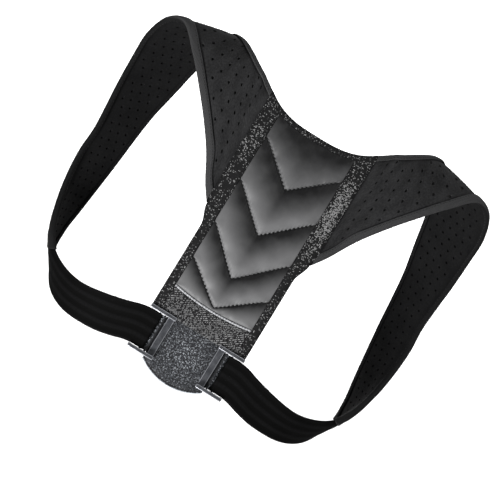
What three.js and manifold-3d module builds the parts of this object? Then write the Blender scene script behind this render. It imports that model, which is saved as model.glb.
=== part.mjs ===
// Posture corrector in its worn form: a padded back panel whose two shoulder pads pass
// over the shoulders and down the chest, and whose elastic straps come back under the
// arms to two buckles on a tab below the panel.
// Millimetres, +Z up. The wearer faces +Y, so the quilted face looks along -Y.
// The origin lies midway between the two shoulders, where the pads bear on them.

import * as THREE from 'three';
import { mergeVertices } from 'three/addons/utils/BufferGeometryUtils.js';
import Module from 'manifold-3d';

const wasm = await Module();
wasm.setup();

// Back panel, with heights measured up from the hem of its leather
const panelHeight = 237;
const leatherHalfWidth = 50.5;
const lowerHalfWidth = 62;
const upperHalfWidth = 69;
const armCornerBottom = 80;
const armCornerTop = 106;
const neckRise = 17.5;
const neckRisePower = 3;
const bandHeight = 27.6;
const hemRise = 4.5;

// Worn shape
const crestHeight = 288;
const crestDrop = 15;
const halfSpan = 229;
const backDepth = 82;
const chestDepth = 85;
const neckLean = 16;
const neckLeanPower = 1.6;
const flatHalfWidth = 45;
const sideBend = 3;

// Layers
const liningThickness = 4;
const tapeThickness = 1.2;
const leatherThickness = 1.6;
const quiltRise = 5;
const puffFullness = 0.7;
const puffSidePower = 6;
const pipingHeight = 2.8;
const pipingThickness = 2.6;
const pipingFoot = 0.35;
const neckBindingWidth = 7.5;
const padBindingWidth = 5.5;
const armBindingWidth = 9.5;
const foldGap = 0.45;
const clearance = 0.3;
const seamGap = 0.5;
const sameSpot = 1e-4;

// Lower tab
const tabHalfWidth = 39.8;
const tabDrop = 98;
const tabRadius = 68;
const tabTuck = 14;
const tabThickness = 2.6;
const tabLoopWall = 1.2;

// Buckles
const buckleOpening = 47.5;
const buckleInner = 29;
const buckleLength = 34;
const railWidth = 4.6;
const railWall = 1.8;
const railLip = 2.4;
const flatBarInset = 1;
const flatBarWidth = 8;
const flatBarThickness = 2.5;
const loopBarRadius = 1.2;
const loopBarStep = 13;
const strapBarRadius = 1.3;
const strapBarStep = 19.4;
const strapBarLift = 1;

// Elastic straps
const elasticWidth = 46.5;
const elasticThickness = 1.8;
const elasticReturn = 62;

// Chevron seams of the quilted leather: height in the middle and extra height at the
// sides, as shares of the panel's height
const chevronRows = [
  { middle: 0.026, rise: 0.165 },
  { middle: 0.19, rise: 0.203 },
  { middle: 0.437, rise: 0.194 },
  { middle: 0.692, rise: 0.181 },
];

// Right shoulder loop, from the panel's seam over the shoulder, down the chest and
// under the arm. The neck edge of the pad becomes the lower edge of the elastic strap.
// x: share of the way from the panel's side to the half span. z: share of the crest's
// height above the hem. y: share of the chest's depth, ahead of the shoulder's crest.
// bow: how far the middle stands out, as a share of the width.
const loopRows = [
  { neck: [0.09, 0.918, -0.61], arm: [0.09, 0.438, -0.79], bow: 0.01 },
  { neck: [0.156, 0.941, -0.565], arm: [0.2, 0.545, -0.71], bow: 0.02 },
  { neck: [0.219, 0.963, -0.48], arm: [0.331, 0.646, -0.61], bow: 0.03 },
  { neck: [0.281, 0.984, -0.365], arm: [0.481, 0.747, -0.48], bow: 0.03 },
  { neck: [0.35, 1, -0.176], arm: [0.65, 0.851, -0.29], bow: 0.02 },
  { neck: [0.43, 0.993, 0.118], arm: [0.825, 0.938, -0.05], bow: 0.01 },
  { neck: [0.469, 0.958, 0.33], arm: [0.938, 0.917, 0.15], bow: 0 },
  { neck: [0.506, 0.9, 0.52], arm: [1, 0.83, 0.34], bow: 0.01 },
  { neck: [0.55, 0.8, 0.7], arm: [1, 0.712, 0.49], bow: 0.02 },
  { neck: [0.594, 0.677, 0.85], arm: [0.988, 0.597, 0.55], bow: 0.03 },
  { neck: [0.638, 0.556, 0.94], arm: [0.969, 0.486, 0.576], bow: 0.03 },
  { neck: [0.663, 0.438, 0.99], arm: [0.956, 0.389, 0.576], bow: 0.03 },
  { neck: [0.681, 0.326, 1], arm: [0.963, 0.292, 0.54], bow: 0.04 },
  { neck: [0.706, 0.198, 0.965], arm: [0.944, 0.18, 0.447], bow: 0.06 },
  { neck: [0.731, 0.076, 0.88], arm: [0.9, 0.07, 0.28], bow: 0.1 },
  { neck: [0.75, -0.017, 0.74], arm: [0.831, -0.031, 0.094], bow: 0.14 },
  { neck: [0.744, -0.1, 0.54], arm: [0.738, -0.1, -0.08], bow: 0.17 },
  { neck: [0.706, -0.18, 0.28], arm: [0.656, -0.132, -0.28], bow: 0.13 },
  { neck: [0.638, -0.25, 0.02], arm: [0.569, -0.149, -0.447], bow: 0.07 },
  { neck: [0.544, -0.29, -0.26], arm: [0.475, -0.156, -0.635], bow: 0.03 },
  { neck: [0.419, -0.307, -0.53], arm: [0.363, -0.153, -0.776], bow: 0.01 },
  { neck: [0.231, -0.303, -0.78], arm: [0.219, -0.141, -0.894], bow: 0 },
];

// Steps of the pad and its bindings up to a row of the loop: closest over the shoulder
const padSteps = [
  { row: 0, steps: 0 },
  { row: 3, steps: 6 },
  { row: 8, steps: 24 },
  { row: 17, steps: 41 },
];

// Stations where the strap runs into the buckle: distance outside the buckle's strap
// bar, how far it has dropped and how far its two edges have turned forwards, as
// shares of the elastic strap's width
const buckleRows = [
  { out: 0.81, drop: 0.13, neckTurn: 0.15, armTurn: 0.06 },
  { out: 0.51, drop: 0.04, neckTurn: 0.04, armTurn: 0.015 },
  { out: 0.25, drop: 0, neckTurn: 0, armTurn: 0 },
  { out: 0, drop: 0, neckTurn: 0, armTurn: 0 },
  { out: -0.25, drop: 0, neckTurn: 0, armTurn: 0 },
];

// Levels that several pieces share, measured out from the panel's inner face
const skinLevel = liningThickness + foldGap;
const tapeTop = skinLevel + tapeThickness;
const lipLevel = -foldGap;
const lipBottom = lipLevel - tapeThickness;
const foldDepth = tapeThickness + foldGap;
const tabTop = lipBottom - clearance;
const barBack = tabTop + clearance;
const railTop = tapeTop + clearance + railLip;
const seatHeight = crestHeight - crestDrop / 2;

// Places of the buckle's bars
const bandBottom = -bandHeight;
const openingTop = bandBottom - clearance * 2 - railWall;
const openingMiddle = openingTop - buckleOpening / 2;
const strapBarX = buckleInner + strapBarStep;
const loopBarX = buckleInner + loopBarStep;
const loopBarLevel = tabTop - tabThickness / 2;
const wrapRadius = strapBarRadius + clearance;
const strapSeat = strapBarLift + wrapRadius;

// Height of the neck edge at a distance from the middle
function neckEdge(x) {
  return panelHeight + neckRise * Math.pow(Math.abs(x) / upperHalfWidth, neckRisePower);
}

// Half width of the panel at a height
function panelHalfWidth(z) {
  const share = THREE.MathUtils.smoothstep(z, armCornerBottom, armCornerTop);
  return THREE.MathUtils.lerp(lowerHalfWidth, upperHalfWidth, share);
}

// Depth of the panel's inner face
function panelDepth(x, z) {
  const lean = neckLean * Math.pow(Math.max(z, 0) / panelHeight, neckLeanPower);
  const side = Math.max(Math.abs(x) - flatHalfWidth, 0) / (upperHalfWidth - flatHalfWidth);
  return -backDepth + lean + sideBend * side * side;
}

// A point at a level above the panel's inner face
function onPanel(x, z, level) {
  const step = 0.5;
  const slopeX = (panelDepth(x + step, z) - panelDepth(x - step, z)) / (2 * step);
  const slopeZ = (panelDepth(x, z + step) - panelDepth(x, z - step)) / (2 * step);
  const normal = new THREE.Vector3(slopeX, -1, slopeZ).normalize();
  return new THREE.Vector3(x, panelDepth(x, z), z).addScaledVector(normal, level);
}

// Share of a strap's run or width over which its slopes are taken
const slopeShare = 0.002;

// The strap's surface between its two edge curves, with its own length scale
class StrapSurface {
  constructor(rows) {
    this.neckEdge = new THREE.CatmullRomCurve3(rows.map((row) => row.neck));
    this.armEdge = new THREE.CatmullRomCurve3(rows.map((row) => row.arm));
    this.bows = new THREE.SplineCurve(rows.map((row, i) => new THREE.Vector2(i, row.bow)));
    this.lastRow = rows.length - 1;
    this.samples = 500;
    this.lengths = [0];
    for (let i = 1; i <= this.samples; i += 1) {
      const before = this.point((i - 1) / this.samples, 0.5);
      const after = this.point(i / this.samples, 0.5);
      this.lengths.push(this.lengths[i - 1] + before.distanceTo(after));
    }
  }

  width(t) {
    return this.neckEdge.getPoint(t).distanceTo(this.armEdge.getPoint(t));
  }

  point(t, v) {
    const at = (s) => {
      const neck = this.neckEdge.getPoint(s);
      return neck.lerp(this.armEdge.getPoint(s), v);
    };
    const along = at(Math.min(t + slopeShare, 1)).sub(at(Math.max(t - slopeShare, 0)));
    const across = this.armEdge.getPoint(t).sub(this.neckEdge.getPoint(t));
    const rise = this.bows.getPoint(t).y * across.length() * 4 * v * (1 - v);
    return at(t).addScaledVector(across.cross(along).normalize(), rise);
  }

  normal(t, v) {
    const before = this.point(Math.max(t - slopeShare, 0), v);
    const along = this.point(Math.min(t + slopeShare, 1), v).sub(before);
    const across = this.point(t, v + slopeShare).sub(this.point(t, v - slopeShare));
    return across.cross(along).normalize();
  }

  // A point by its share of the run, its distance from the middle line and its level
  place(t, offset, level) {
    const v = 0.5 + offset / this.width(t);
    return this.point(t, v).addScaledVector(this.normal(t, v), level);
  }

  shareAtRow(row) {
    return row / this.lastRow;
  }

  lengthAt(t) {
    const i = Math.min(Math.floor(t * this.samples), this.samples - 1);
    return THREE.MathUtils.lerp(this.lengths[i], this.lengths[i + 1], t * this.samples - i);
  }

  shareAt(length) {
    let i = this.lengths.findIndex((value) => value > length) - 1;
    if (i < 0) i = length <= 0 ? 0 : this.samples - 1;
    const share = (length - this.lengths[i]) / (this.lengths[i + 1] - this.lengths[i]);
    return (i + share) / this.samples;
  }
}

function volumeOf(geometry) {
  const position = geometry.getAttribute('position');
  const index = geometry.getIndex();
  const corner = [0, 1, 2].map(() => new THREE.Vector3());
  let volume = 0;
  for (let i = 0; i < index.count; i += 3) {
    corner.forEach((point, k) => point.fromBufferAttribute(position, index.getX(i + k)));
    volume += corner[0].dot(corner[1].clone().cross(corner[2])) / 6;
  }
  return volume;
}

// Closes a geometry and turns its faces outwards
function closed(geometry) {
  for (const name of ['normal', 'uv']) geometry.deleteAttribute(name);
  const merged = mergeVertices(geometry, sameSpot);
  merged.clearGroups();
  if (volumeOf(merged) < 0) {
    const index = merged.getIndex();
    for (let i = 0; i < index.count; i += 3) {
      const first = index.getX(i);
      index.setX(i, index.getX(i + 2));
      index.setX(i + 2, first);
    }
  }
  merged.computeVertexNormals();
  return merged;
}

// Moves every point of a plain geometry to its place on the object
function bent(geometry, place) {
  const position = geometry.getAttribute('position');
  for (let i = 0; i < position.count; i += 1) {
    const moved = place(position.getX(i), position.getY(i), position.getZ(i));
    position.setXYZ(i, moved.x, moved.y, moved.z);
  }
  return closed(geometry);
}

// A slab in shares: x and y run from 0 to 1 across and along, z from 0 to 1 through it
function slab(across, along, place) {
  const block = new THREE.BoxGeometry(1, 1, 1, across, along, 1);
  block.translate(0.5, 0.5, 0.5);
  return bent(block, place);
}

// A section drawn as corner pairs, run from 0 to 1 in steps
function run(corners, steps, place) {
  const outline = new THREE.Shape(corners.map(([x, y]) => new THREE.Vector2(x, y)));
  const options = { depth: 1, steps, bevelEnabled: false };
  return bent(new THREE.ExtrudeGeometry(outline, options), place);
}

// Section of a tape folded over an edge: distance in from the edge, and level. Its two
// layers can bend at as many places as are asked for.
function foldedTape(topWidth, lipWidth, bends = 0) {
  const layer = (from, to, level) => {
    const places = Array.from({ length: bends + 2 }, (_, i) => i / (bends + 1));
    return places.map((share) => [THREE.MathUtils.lerp(from, to, share), level]);
  };
  return [
    ...layer(0, lipWidth, lipBottom),
    ...layer(lipWidth, tapeThickness, lipLevel),
    ...layer(tapeThickness, topWidth, skinLevel),
    ...layer(topWidth, 0, tapeTop),
  ];
}

function solidOf(geometry) {
  const merged = closed(geometry);
  const vertProperties = new Float32Array(merged.getAttribute('position').array);
  const triVerts = new Uint32Array(merged.getIndex().array);
  const mesh = new wasm.Mesh({ numProp: 3, vertProperties, triVerts });
  return new wasm.Manifold(mesh);
}

function geometryOf(solid) {
  const mesh = solid.getMesh();
  const geometry = new THREE.BufferGeometry();
  const points = new Float32Array(mesh.vertProperties);
  geometry.setAttribute('position', new THREE.BufferAttribute(points, 3));
  geometry.setIndex([...mesh.triVerts]);
  return closed(geometry);
}

// A box between two corners, given as x, level and z
function block(low, high) {
  const size = high.map((value, i) => value - low[i]);
  const box = new THREE.BoxGeometry(size[0], size[1], size[2]);
  const middle = high.map((value, i) => (value + low[i]) / 2);
  return box.translate(middle[0], -backDepth - middle[1], middle[2]);
}

// A round bar standing along z at an x and a level
function bar(radius, x, level, bottom, top) {
  const sides = 12;
  const cylinder = new THREE.CylinderGeometry(radius, radius, top - bottom, sides);
  cylinder.rotateX(Math.PI / 2);
  return cylinder.translate(x, -backDepth - level, (top + bottom) / 2);
}

function joined(geometries) {
  const solids = geometries.map(solidOf);
  return geometryOf(solids.reduce((whole, solid) => whole.add(solid)));
}

// Back panel

const neckSteps = 16;
const lowerSteps = 12;
const upperSteps = 6;
const hemSteps = 12;

// Height of a row of the panel's lower part, below the arm corners
function lowerRow(step) {
  return THREE.MathUtils.lerp(bandBottom, armCornerTop, step / lowerSteps);
}

function backLining() {
  const rows = lowerSteps + 1 + upperSteps;
  return slab(neckSteps, rows, (u, w, h) => {
    const share = 2 * u - 1;
    const row = Math.round(w * rows);
    const top = neckEdge(share * upperHalfWidth) - foldDepth;
    const start = armCornerTop + clearance;
    if (row > lowerSteps) {
      const z = THREE.MathUtils.lerp(start, top, (row - lowerSteps - 1) / upperSteps);
      return onPanel(share * upperHalfWidth, z, h * liningThickness);
    }
    const z = Math.max(lowerRow(row), bandBottom + foldDepth);
    return onPanel(share * (panelHalfWidth(z) - foldDepth), z, h * liningThickness);
  });
}

// Height of the leather's hem, which sags in the middle
function hemHeight(x) {
  const out = x / leatherHalfWidth;
  return hemRise * out * out;
}

// Heights of the quilted leather's seams at a distance from the middle
function seamHeights(x) {
  const out = Math.abs(x) / leatherHalfWidth;
  const hem = hemHeight(x) + pipingHeight + 2 * clearance;
  const top = neckEdge(x) - neckBindingWidth - clearance;
  const chevrons = chevronRows.map((row) => panelHeight * (row.middle + row.rise * out));
  return [hem, ...chevrons, top];
}

function quiltedPanel() {
  const stepsPerField = 5;
  const fields = chevronRows.length + 1;
  const field = (w) => Math.min(Math.floor(w * fields), fields - 1);
  return slab(hemSteps, stepsPerField * fields, (u, w, h) => {
    const x = (2 * u - 1) * leatherHalfWidth;
    const seams = seamHeights(x);
    const share = w * fields - field(w);
    const z = THREE.MathUtils.lerp(seams[field(w)], seams[field(w) + 1], share);
    const sides = 1 - Math.pow(Math.abs(2 * u - 1), puffSidePower);
    const puff = Math.pow(Math.max(Math.sin(Math.PI * share), 0), puffFullness);
    const rise = leatherThickness + quiltRise * puff * sides;
    return onPanel(x, z, skinLevel + h * rise);
  });
}

// The piping's section is a round back on a low foot
function hemPiping() {
  const backSteps = 6;
  const corners = [];
  for (let i = 0; i <= backSteps; i += 1) {
    const angle = (Math.PI * i) / backSteps;
    const z = clearance + (pipingHeight * (1 - Math.cos(angle))) / 2;
    const rise = THREE.MathUtils.lerp(pipingFoot, 1, Math.sin(angle));
    corners.push([z, skinLevel + pipingThickness * rise]);
  }
  corners.push([clearance + pipingHeight, skinLevel], [clearance, skinLevel]);
  return run(corners, hemSteps, (z, level, s) => {
    const x = (2 * s - 1) * leatherHalfWidth;
    return onPanel(x, hemHeight(x) + z, level);
  });
}

function lowerBand() {
  const corners = foldedTape(bandHeight, neckBindingWidth);
  return run(corners, hemSteps, (inward, level, s) => {
    const x = (2 * s - 1) * leatherHalfWidth;
    const rise = level > 0 ? (hemHeight(x) * inward) / bandHeight : 0;
    return onPanel(x, bandBottom + inward + rise, level);
  });
}

function neckBinding() {
  const corners = foldedTape(neckBindingWidth, neckBindingWidth);
  return run(corners, neckSteps, (inward, level, s) => {
    const x = (2 * s - 1) * upperHalfWidth;
    return onPanel(x, neckEdge(x) - inward, level);
  });
}

// Right side tape, from the neck binding down to the arm corner
function sideTape() {
  const inner = leatherHalfWidth + clearance;
  const [across, along] = [3, 10];
  return slab(across, along, (u, w, h) => {
    const x = THREE.MathUtils.lerp(inner, upperHalfWidth, u);
    const top = neckEdge(x) - neckBindingWidth - clearance;
    const z = THREE.MathUtils.lerp(armCornerTop + clearance, top, w);
    return onPanel(x, z, skinLevel + h * tapeThickness);
  });
}

// Right edge binding, from the arm corner down to the panel's lower corner
function edgeBinding() {
  const inner = leatherHalfWidth + clearance;
  const lowWidth = lowerHalfWidth - inner;
  const corners = foldedTape(lowWidth, lowWidth, 2);
  return run(corners, lowerSteps, (inward, level, s) => {
    const z = lowerRow(s * lowerSteps);
    const edge = panelHalfWidth(z);
    const share = Math.max(inward - tapeThickness, 0) / (lowWidth - tapeThickness);
    const spread = level > 0 ? share * (edge - lowerHalfWidth) : 0;
    return onPanel(edge - inward - spread, z, level);
  });
}

// Shoulder loop

function loopSurface() {
  const seamX = upperHalfWidth + seamGap;
  const seamPoint = (z) => new THREE.Vector3(seamX, panelDepth(seamX, z), z);
  const placed = ([x, z, y]) => {
    const reach = THREE.MathUtils.lerp(upperHalfWidth, halfSpan, x);
    return new THREE.Vector3(reach, y * chestDepth, z * crestHeight);
  };
  const atBuckle = (out, side, drop, turn) => {
    const x = strapBarX + out * elasticWidth;
    const y = -backDepth - strapSeat + turn * elasticWidth;
    const z = openingMiddle + (side / 2 - drop) * elasticWidth;
    return new THREE.Vector3(x, y, z);
  };
  const seam = { neck: seamPoint(neckEdge(seamX)), arm: seamPoint(armCornerTop), bow: 0 };
  const body = loopRows.map(({ neck, arm, bow }) => {
    return { neck: placed(neck), arm: placed(arm), bow };
  });
  const buckle = buckleRows.map(({ out, drop, neckTurn, armTurn }) => {
    const neck = atBuckle(out, -1, drop, neckTurn);
    return { neck, arm: atBuckle(out, 1, drop, armTurn), bow: 0 };
  });
  return new StrapSurface([seam, ...body, ...buckle]);
}

const loop = loopSurface();
const padEnd = padSteps[padSteps.length - 1];
const padShare = loop.shareAtRow(padEnd.row);

// Share of the loop at a share of the pad's steps
function padStation(share) {
  const step = share * padEnd.steps;
  const next = padSteps.findIndex((stop, i) => i > 0 && step <= stop.steps + sameSpot);
  const [from, to] = [padSteps[next - 1], padSteps[next]];
  const part = (step - from.steps) / (to.steps - from.steps);
  return loop.shareAtRow(THREE.MathUtils.lerp(from.row, to.row, part));
}

// Shares of the pad's width between its bindings where it can bend
const padBends = [0, 0.25, 0.5, 0.75, 1];

// Distances of the pad's columns from its middle line, at a width: the outermost ones
// lie under the bindings
function padColumns(width) {
  const neck = -width / 2;
  const arm = width / 2;
  const middle = padBends.map((share) => {
    return THREE.MathUtils.lerp(neck + padBindingWidth, arm - armBindingWidth, share);
  });
  return [neck + foldDepth, ...middle, arm - foldDepth];
}

function shoulderPad() {
  const columns = padBends.length + 1;
  return slab(columns, padEnd.steps, (u, w, h) => {
    const t = padStation(w);
    const offset = padColumns(loop.width(t))[Math.round(u * columns)];
    return loop.place(t, offset, h * liningThickness);
  });
}

// Binding along the pad's neck edge, side -1, or its arm edge, side 1
function padBinding(width, side) {
  return run(foldedTape(width, width), padEnd.steps, (inward, level, s) => {
    const t = padStation(s);
    return loop.place(t, side * (loop.width(t) / 2 - inward), level);
  });
}

// The elastic strap's middle line: out to the strap bar, round it and back inside.
// Each stop has its length, its level and the way its outer face looks.
function elasticStops() {
  const start = loop.lengthAt(padShare) + seamGap;
  const end = loop.lengthAt(loop.shareAtRow(loop.lastRow - 1));
  const turnRadius = wrapRadius + elasticThickness / 2;
  const outSteps = 22;
  const turnSteps = 8;
  const backSteps = 6;
  const stops = [];
  for (let i = 0; i < outSteps; i += 1) {
    const length = THREE.MathUtils.lerp(start, end, i / outSteps);
    stops.push({ length, level: elasticThickness / 2, facing: 0 });
  }
  for (let i = 0; i <= turnSteps; i += 1) {
    const facing = (Math.PI * i) / turnSteps;
    const length = end + turnRadius * Math.sin(facing);
    stops.push({ length, level: turnRadius * Math.cos(facing) - wrapRadius, facing });
  }
  for (let i = 1; i <= backSteps; i += 1) {
    const share = i / backSteps;
    const level = -turnRadius - wrapRadius * Math.max(1 - share * 2, 0);
    stops.push({ length: end - elasticReturn * share, level, facing: Math.PI });
  }
  return stops;
}

function elasticStrap() {
  const stops = elasticStops();
  const across = 4;
  return slab(across, stops.length - 1, (u, w, h) => {
    const { length, level, facing } = stops[Math.round(w * (stops.length - 1))];
    const out = (h - 0.5) * elasticThickness;
    const t = loop.shareAt(length + out * Math.sin(facing));
    return loop.place(t, (u - 0.5) * elasticWidth, level + out * Math.cos(facing));
  });
}

// Tab and buckles

function lowerTab() {
  const arcCentre = -tabDrop + tabRadius;
  const corner = Math.asin(tabHalfWidth / tabRadius);
  const outline = new THREE.Shape();
  outline.moveTo(tabHalfWidth, bandBottom + tabTuck);
  outline.lineTo(-tabHalfWidth, bandBottom + tabTuck);
  const arcStart = -Math.PI / 2 - corner;
  outline.absarc(0, arcCentre, tabRadius, arcStart, -Math.PI / 2 + corner, false);
  const plate = new THREE.ExtrudeGeometry(outline, {
    depth: tabThickness,
    bevelEnabled: false,
    curveSegments: 20,
  });
  plate.rotateX(Math.PI / 2);
  plate.translate(0, -backDepth - tabTop + tabThickness, 0);
  const holeRadius = loopBarRadius + clearance;
  const ring = new THREE.Shape();
  ring.absarc(0, 0, holeRadius + tabLoopWall, 0, 2 * Math.PI, false);
  const hole = new THREE.Path();
  hole.absarc(0, 0, holeRadius, 0, 2 * Math.PI, true);
  ring.holes.push(hole);
  const ears = [-1, 1].map((side) => {
    const height = buckleOpening - 4 * clearance;
    const options = { depth: height, bevelEnabled: false, curveSegments: 8 };
    const ear = new THREE.ExtrudeGeometry(ring, options);
    return ear.translate(
      side * loopBarX,
      -backDepth - loopBarLevel,
      openingMiddle - height / 2,
    );
  });
  return joined([plate, ...ears]);
}

function buckle() {
  const outer = buckleInner + buckleLength;
  const pieces = [];
  for (const side of [-1, 1]) {
    const edge = openingMiddle + (side * buckleOpening) / 2;
    const webs = [edge, edge + side * railWall].sort((a, b) => a - b);
    const lips = [edge, edge + side * railWidth].sort((a, b) => a - b);
    pieces.push(block([buckleInner, barBack, webs[0]], [outer, railTop, webs[1]]));
    pieces.push(block([buckleInner, railTop - railLip, lips[0]], [outer, railTop, lips[1]]));
    const lug = loopBarRadius + clearance / 2;
    const low = [loopBarX - lug, loopBarLevel - loopBarRadius, webs[0]];
    pieces.push(block(low, [loopBarX + lug, barBack + railWall, webs[1]]));
  }
  const bottom = openingMiddle - buckleOpening / 2 - railWall / 2;
  const top = openingMiddle + buckleOpening / 2 + railWall / 2;
  const flatInner = buckleInner + flatBarInset;
  const flatLow = [flatInner, barBack, bottom];
  const flatHigh = [flatInner + flatBarWidth, barBack + flatBarThickness, top];
  pieces.push(block(flatLow, flatHigh));
  pieces.push(bar(loopBarRadius, loopBarX, loopBarLevel, bottom, top));
  pieces.push(bar(strapBarRadius, strapBarX, strapBarLift, bottom, top));
  return joined(pieces);
}

const colours = {
  leather: 0x55565a,
  neoprene: 0x26262a,
  weave: 0x3a3a3f,
  elastic: 0x111113,
  grain: 0x3f4246,
  piping: 0x8c8c90,
  metal: 0x8a8b90,
};

const product = new THREE.Group();
product.position.z = -seatHeight;

function addMesh(name, geometry, colour, roughness, metalness = 0) {
  const material = new THREE.MeshStandardMaterial({ color: colour, roughness, metalness });
  const mesh = new THREE.Mesh(geometry, material);
  mesh.name = name;
  product.add(mesh);
}

// Adds a right-hand piece and its mirrored twin
function addPair(name, geometry, colour, roughness, metalness = 0) {
  const twin = closed(geometry.clone().scale(-1, 1, 1));
  addMesh(`${name}_right`, geometry, colour, roughness, metalness);
  addMesh(`${name}_left`, twin, colour, roughness, metalness);
}

addMesh('back_lining', backLining(), colours.neoprene, 0.9);
addMesh('quilted_panel', quiltedPanel(), colours.leather, 0.5);
addMesh('hem_piping', hemPiping(), colours.piping, 0.5);
addMesh('lower_band', lowerBand(), colours.weave, 0.8);
addMesh('neck_binding', neckBinding(), colours.weave, 0.8);
addPair('side_tape', sideTape(), colours.weave, 0.8);
addPair('edge_binding', edgeBinding(), colours.weave, 0.8);
addPair('shoulder_pad', shoulderPad(), colours.neoprene, 0.9);
addPair('neck_side_binding', padBinding(padBindingWidth, -1), colours.weave, 0.8);
addPair('arm_side_binding', padBinding(armBindingWidth, 1), colours.weave, 0.8);
addPair('elastic_strap', elasticStrap(), colours.elastic, 0.85);
addMesh('lower_tab', lowerTab(), colours.grain, 0.6);
addPair('buckle', buckle(), colours.metal, 0.35, 1);

export default product;
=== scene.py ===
import math

import bmesh
import bpy
import numpy as np
from bpy.props import FloatProperty, PointerProperty, StringProperty
from mathutils import Matrix, Vector


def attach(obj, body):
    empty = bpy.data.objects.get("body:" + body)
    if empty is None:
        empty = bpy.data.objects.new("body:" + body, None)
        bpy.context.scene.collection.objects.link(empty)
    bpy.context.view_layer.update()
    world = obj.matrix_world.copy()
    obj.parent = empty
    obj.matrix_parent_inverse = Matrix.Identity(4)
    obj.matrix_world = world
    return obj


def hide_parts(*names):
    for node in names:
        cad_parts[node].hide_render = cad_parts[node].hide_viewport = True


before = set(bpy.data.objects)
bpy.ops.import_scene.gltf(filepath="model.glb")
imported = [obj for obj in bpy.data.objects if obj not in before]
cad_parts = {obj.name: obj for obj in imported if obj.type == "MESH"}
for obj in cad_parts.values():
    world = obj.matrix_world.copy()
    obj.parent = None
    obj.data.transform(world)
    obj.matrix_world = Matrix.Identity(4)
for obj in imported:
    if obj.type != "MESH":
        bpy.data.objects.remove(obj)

bl_info = {
    "name": "Posture corrector",
    "version": (1, 0, 0),
    "blender": (4, 5, 0),
    "location": "3D View > Sidebar > Brace",
    "description": "Dresses the packed posture corrector in leather, pads, tape and metal",
    "category": "Object",
}

MM = 0.001
SIDES = ("right", "left")

# Sizes of the part's source, in millimetres. Heights are measured up from the hem.
PANEL_HEIGHT = 237.0
LEATHER_HALF = 50.5
LOWER_HALF = 62.0
UPPER_HALF = 69.0
CORNER_BOTTOM = 80.0
CORNER_TOP = 106.0
NECK_RISE = 17.5
BAND_HEIGHT = 27.6
HEM_RISE = 4.5
CREST_HEIGHT = 288.0
CREST_DROP = 15.0
HALF_SPAN = 229.0
BACK_DEPTH = 82.0
CHEST_DEPTH = 85.0
NECK_LEAN = 16.0
FLAT_HALF = 45.0
SIDE_BEND = 3.0
LINING = 4.0
TAPE = 1.2
LEATHER = 1.6
PIPING_HEIGHT = 2.8
PIPING_RISE = 2.6
NECK_BINDING = 7.5
PAD_BINDING = 5.5
ARM_BINDING = 9.5
FOLD_GAP = 0.45
TAB_HALF = 39.8
TAB_DROP = 98.0
TAB_RADIUS = 68.0
TAB_TUCK = 14.0
TAB_THICK = 2.6
BUCKLE_OPENING = 47.5
BUCKLE_INNER = 29.0
BUCKLE_LENGTH = 34.0
RAIL_WIDTH = 4.6
RAIL_WALL = 1.8
RAIL_LIP = 2.4
FLAT_BAR = 8.0
FLAT_BAR_THICK = 2.5
LOOP_BAR_RADIUS = 1.2
LOOP_BAR_STEP = 13.0
STRAP_BAR_RADIUS = 1.3
STRAP_BAR_STEP = 19.4
STRAP_BAR_LIFT = 1.0
ELASTIC_WIDTH = 46.5
ELASTIC_THICK = 1.8
ELASTIC_RETURN = 62.0
GAP = 0.3

SKIN = LINING + FOLD_GAP
TAPE_TOP = SKIN + TAPE
LIP_TOP = -FOLD_GAP
TUCK = TAPE + FOLD_GAP
TAB_TOP = LIP_TOP - TAPE - GAP
BAR_BACK = TAB_TOP + GAP
RAIL_TOP = TAPE_TOP + GAP + RAIL_LIP
SEAT_HEIGHT = CREST_HEIGHT - CREST_DROP / 2
OPENING_TOP = -BAND_HEIGHT - 2 * GAP - RAIL_WALL
OPENING_MIDDLE = OPENING_TOP - BUCKLE_OPENING / 2
STRAP_BAR_X = BUCKLE_INNER + STRAP_BAR_STEP
LOOP_BAR_X = BUCKLE_INNER + LOOP_BAR_STEP
LOOP_BAR_LEVEL = TAB_TOP - TAB_THICK / 2
WRAP_RADIUS = STRAP_BAR_RADIUS + GAP
STRAP_SEAT = STRAP_BAR_LIFT + WRAP_RADIUS

# Chevron seams: height in the middle and extra height at the sides, as shares
CHEVRONS = ((0.026, 0.165), (0.19, 0.203), (0.437, 0.194), (0.692, 0.181))

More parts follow.
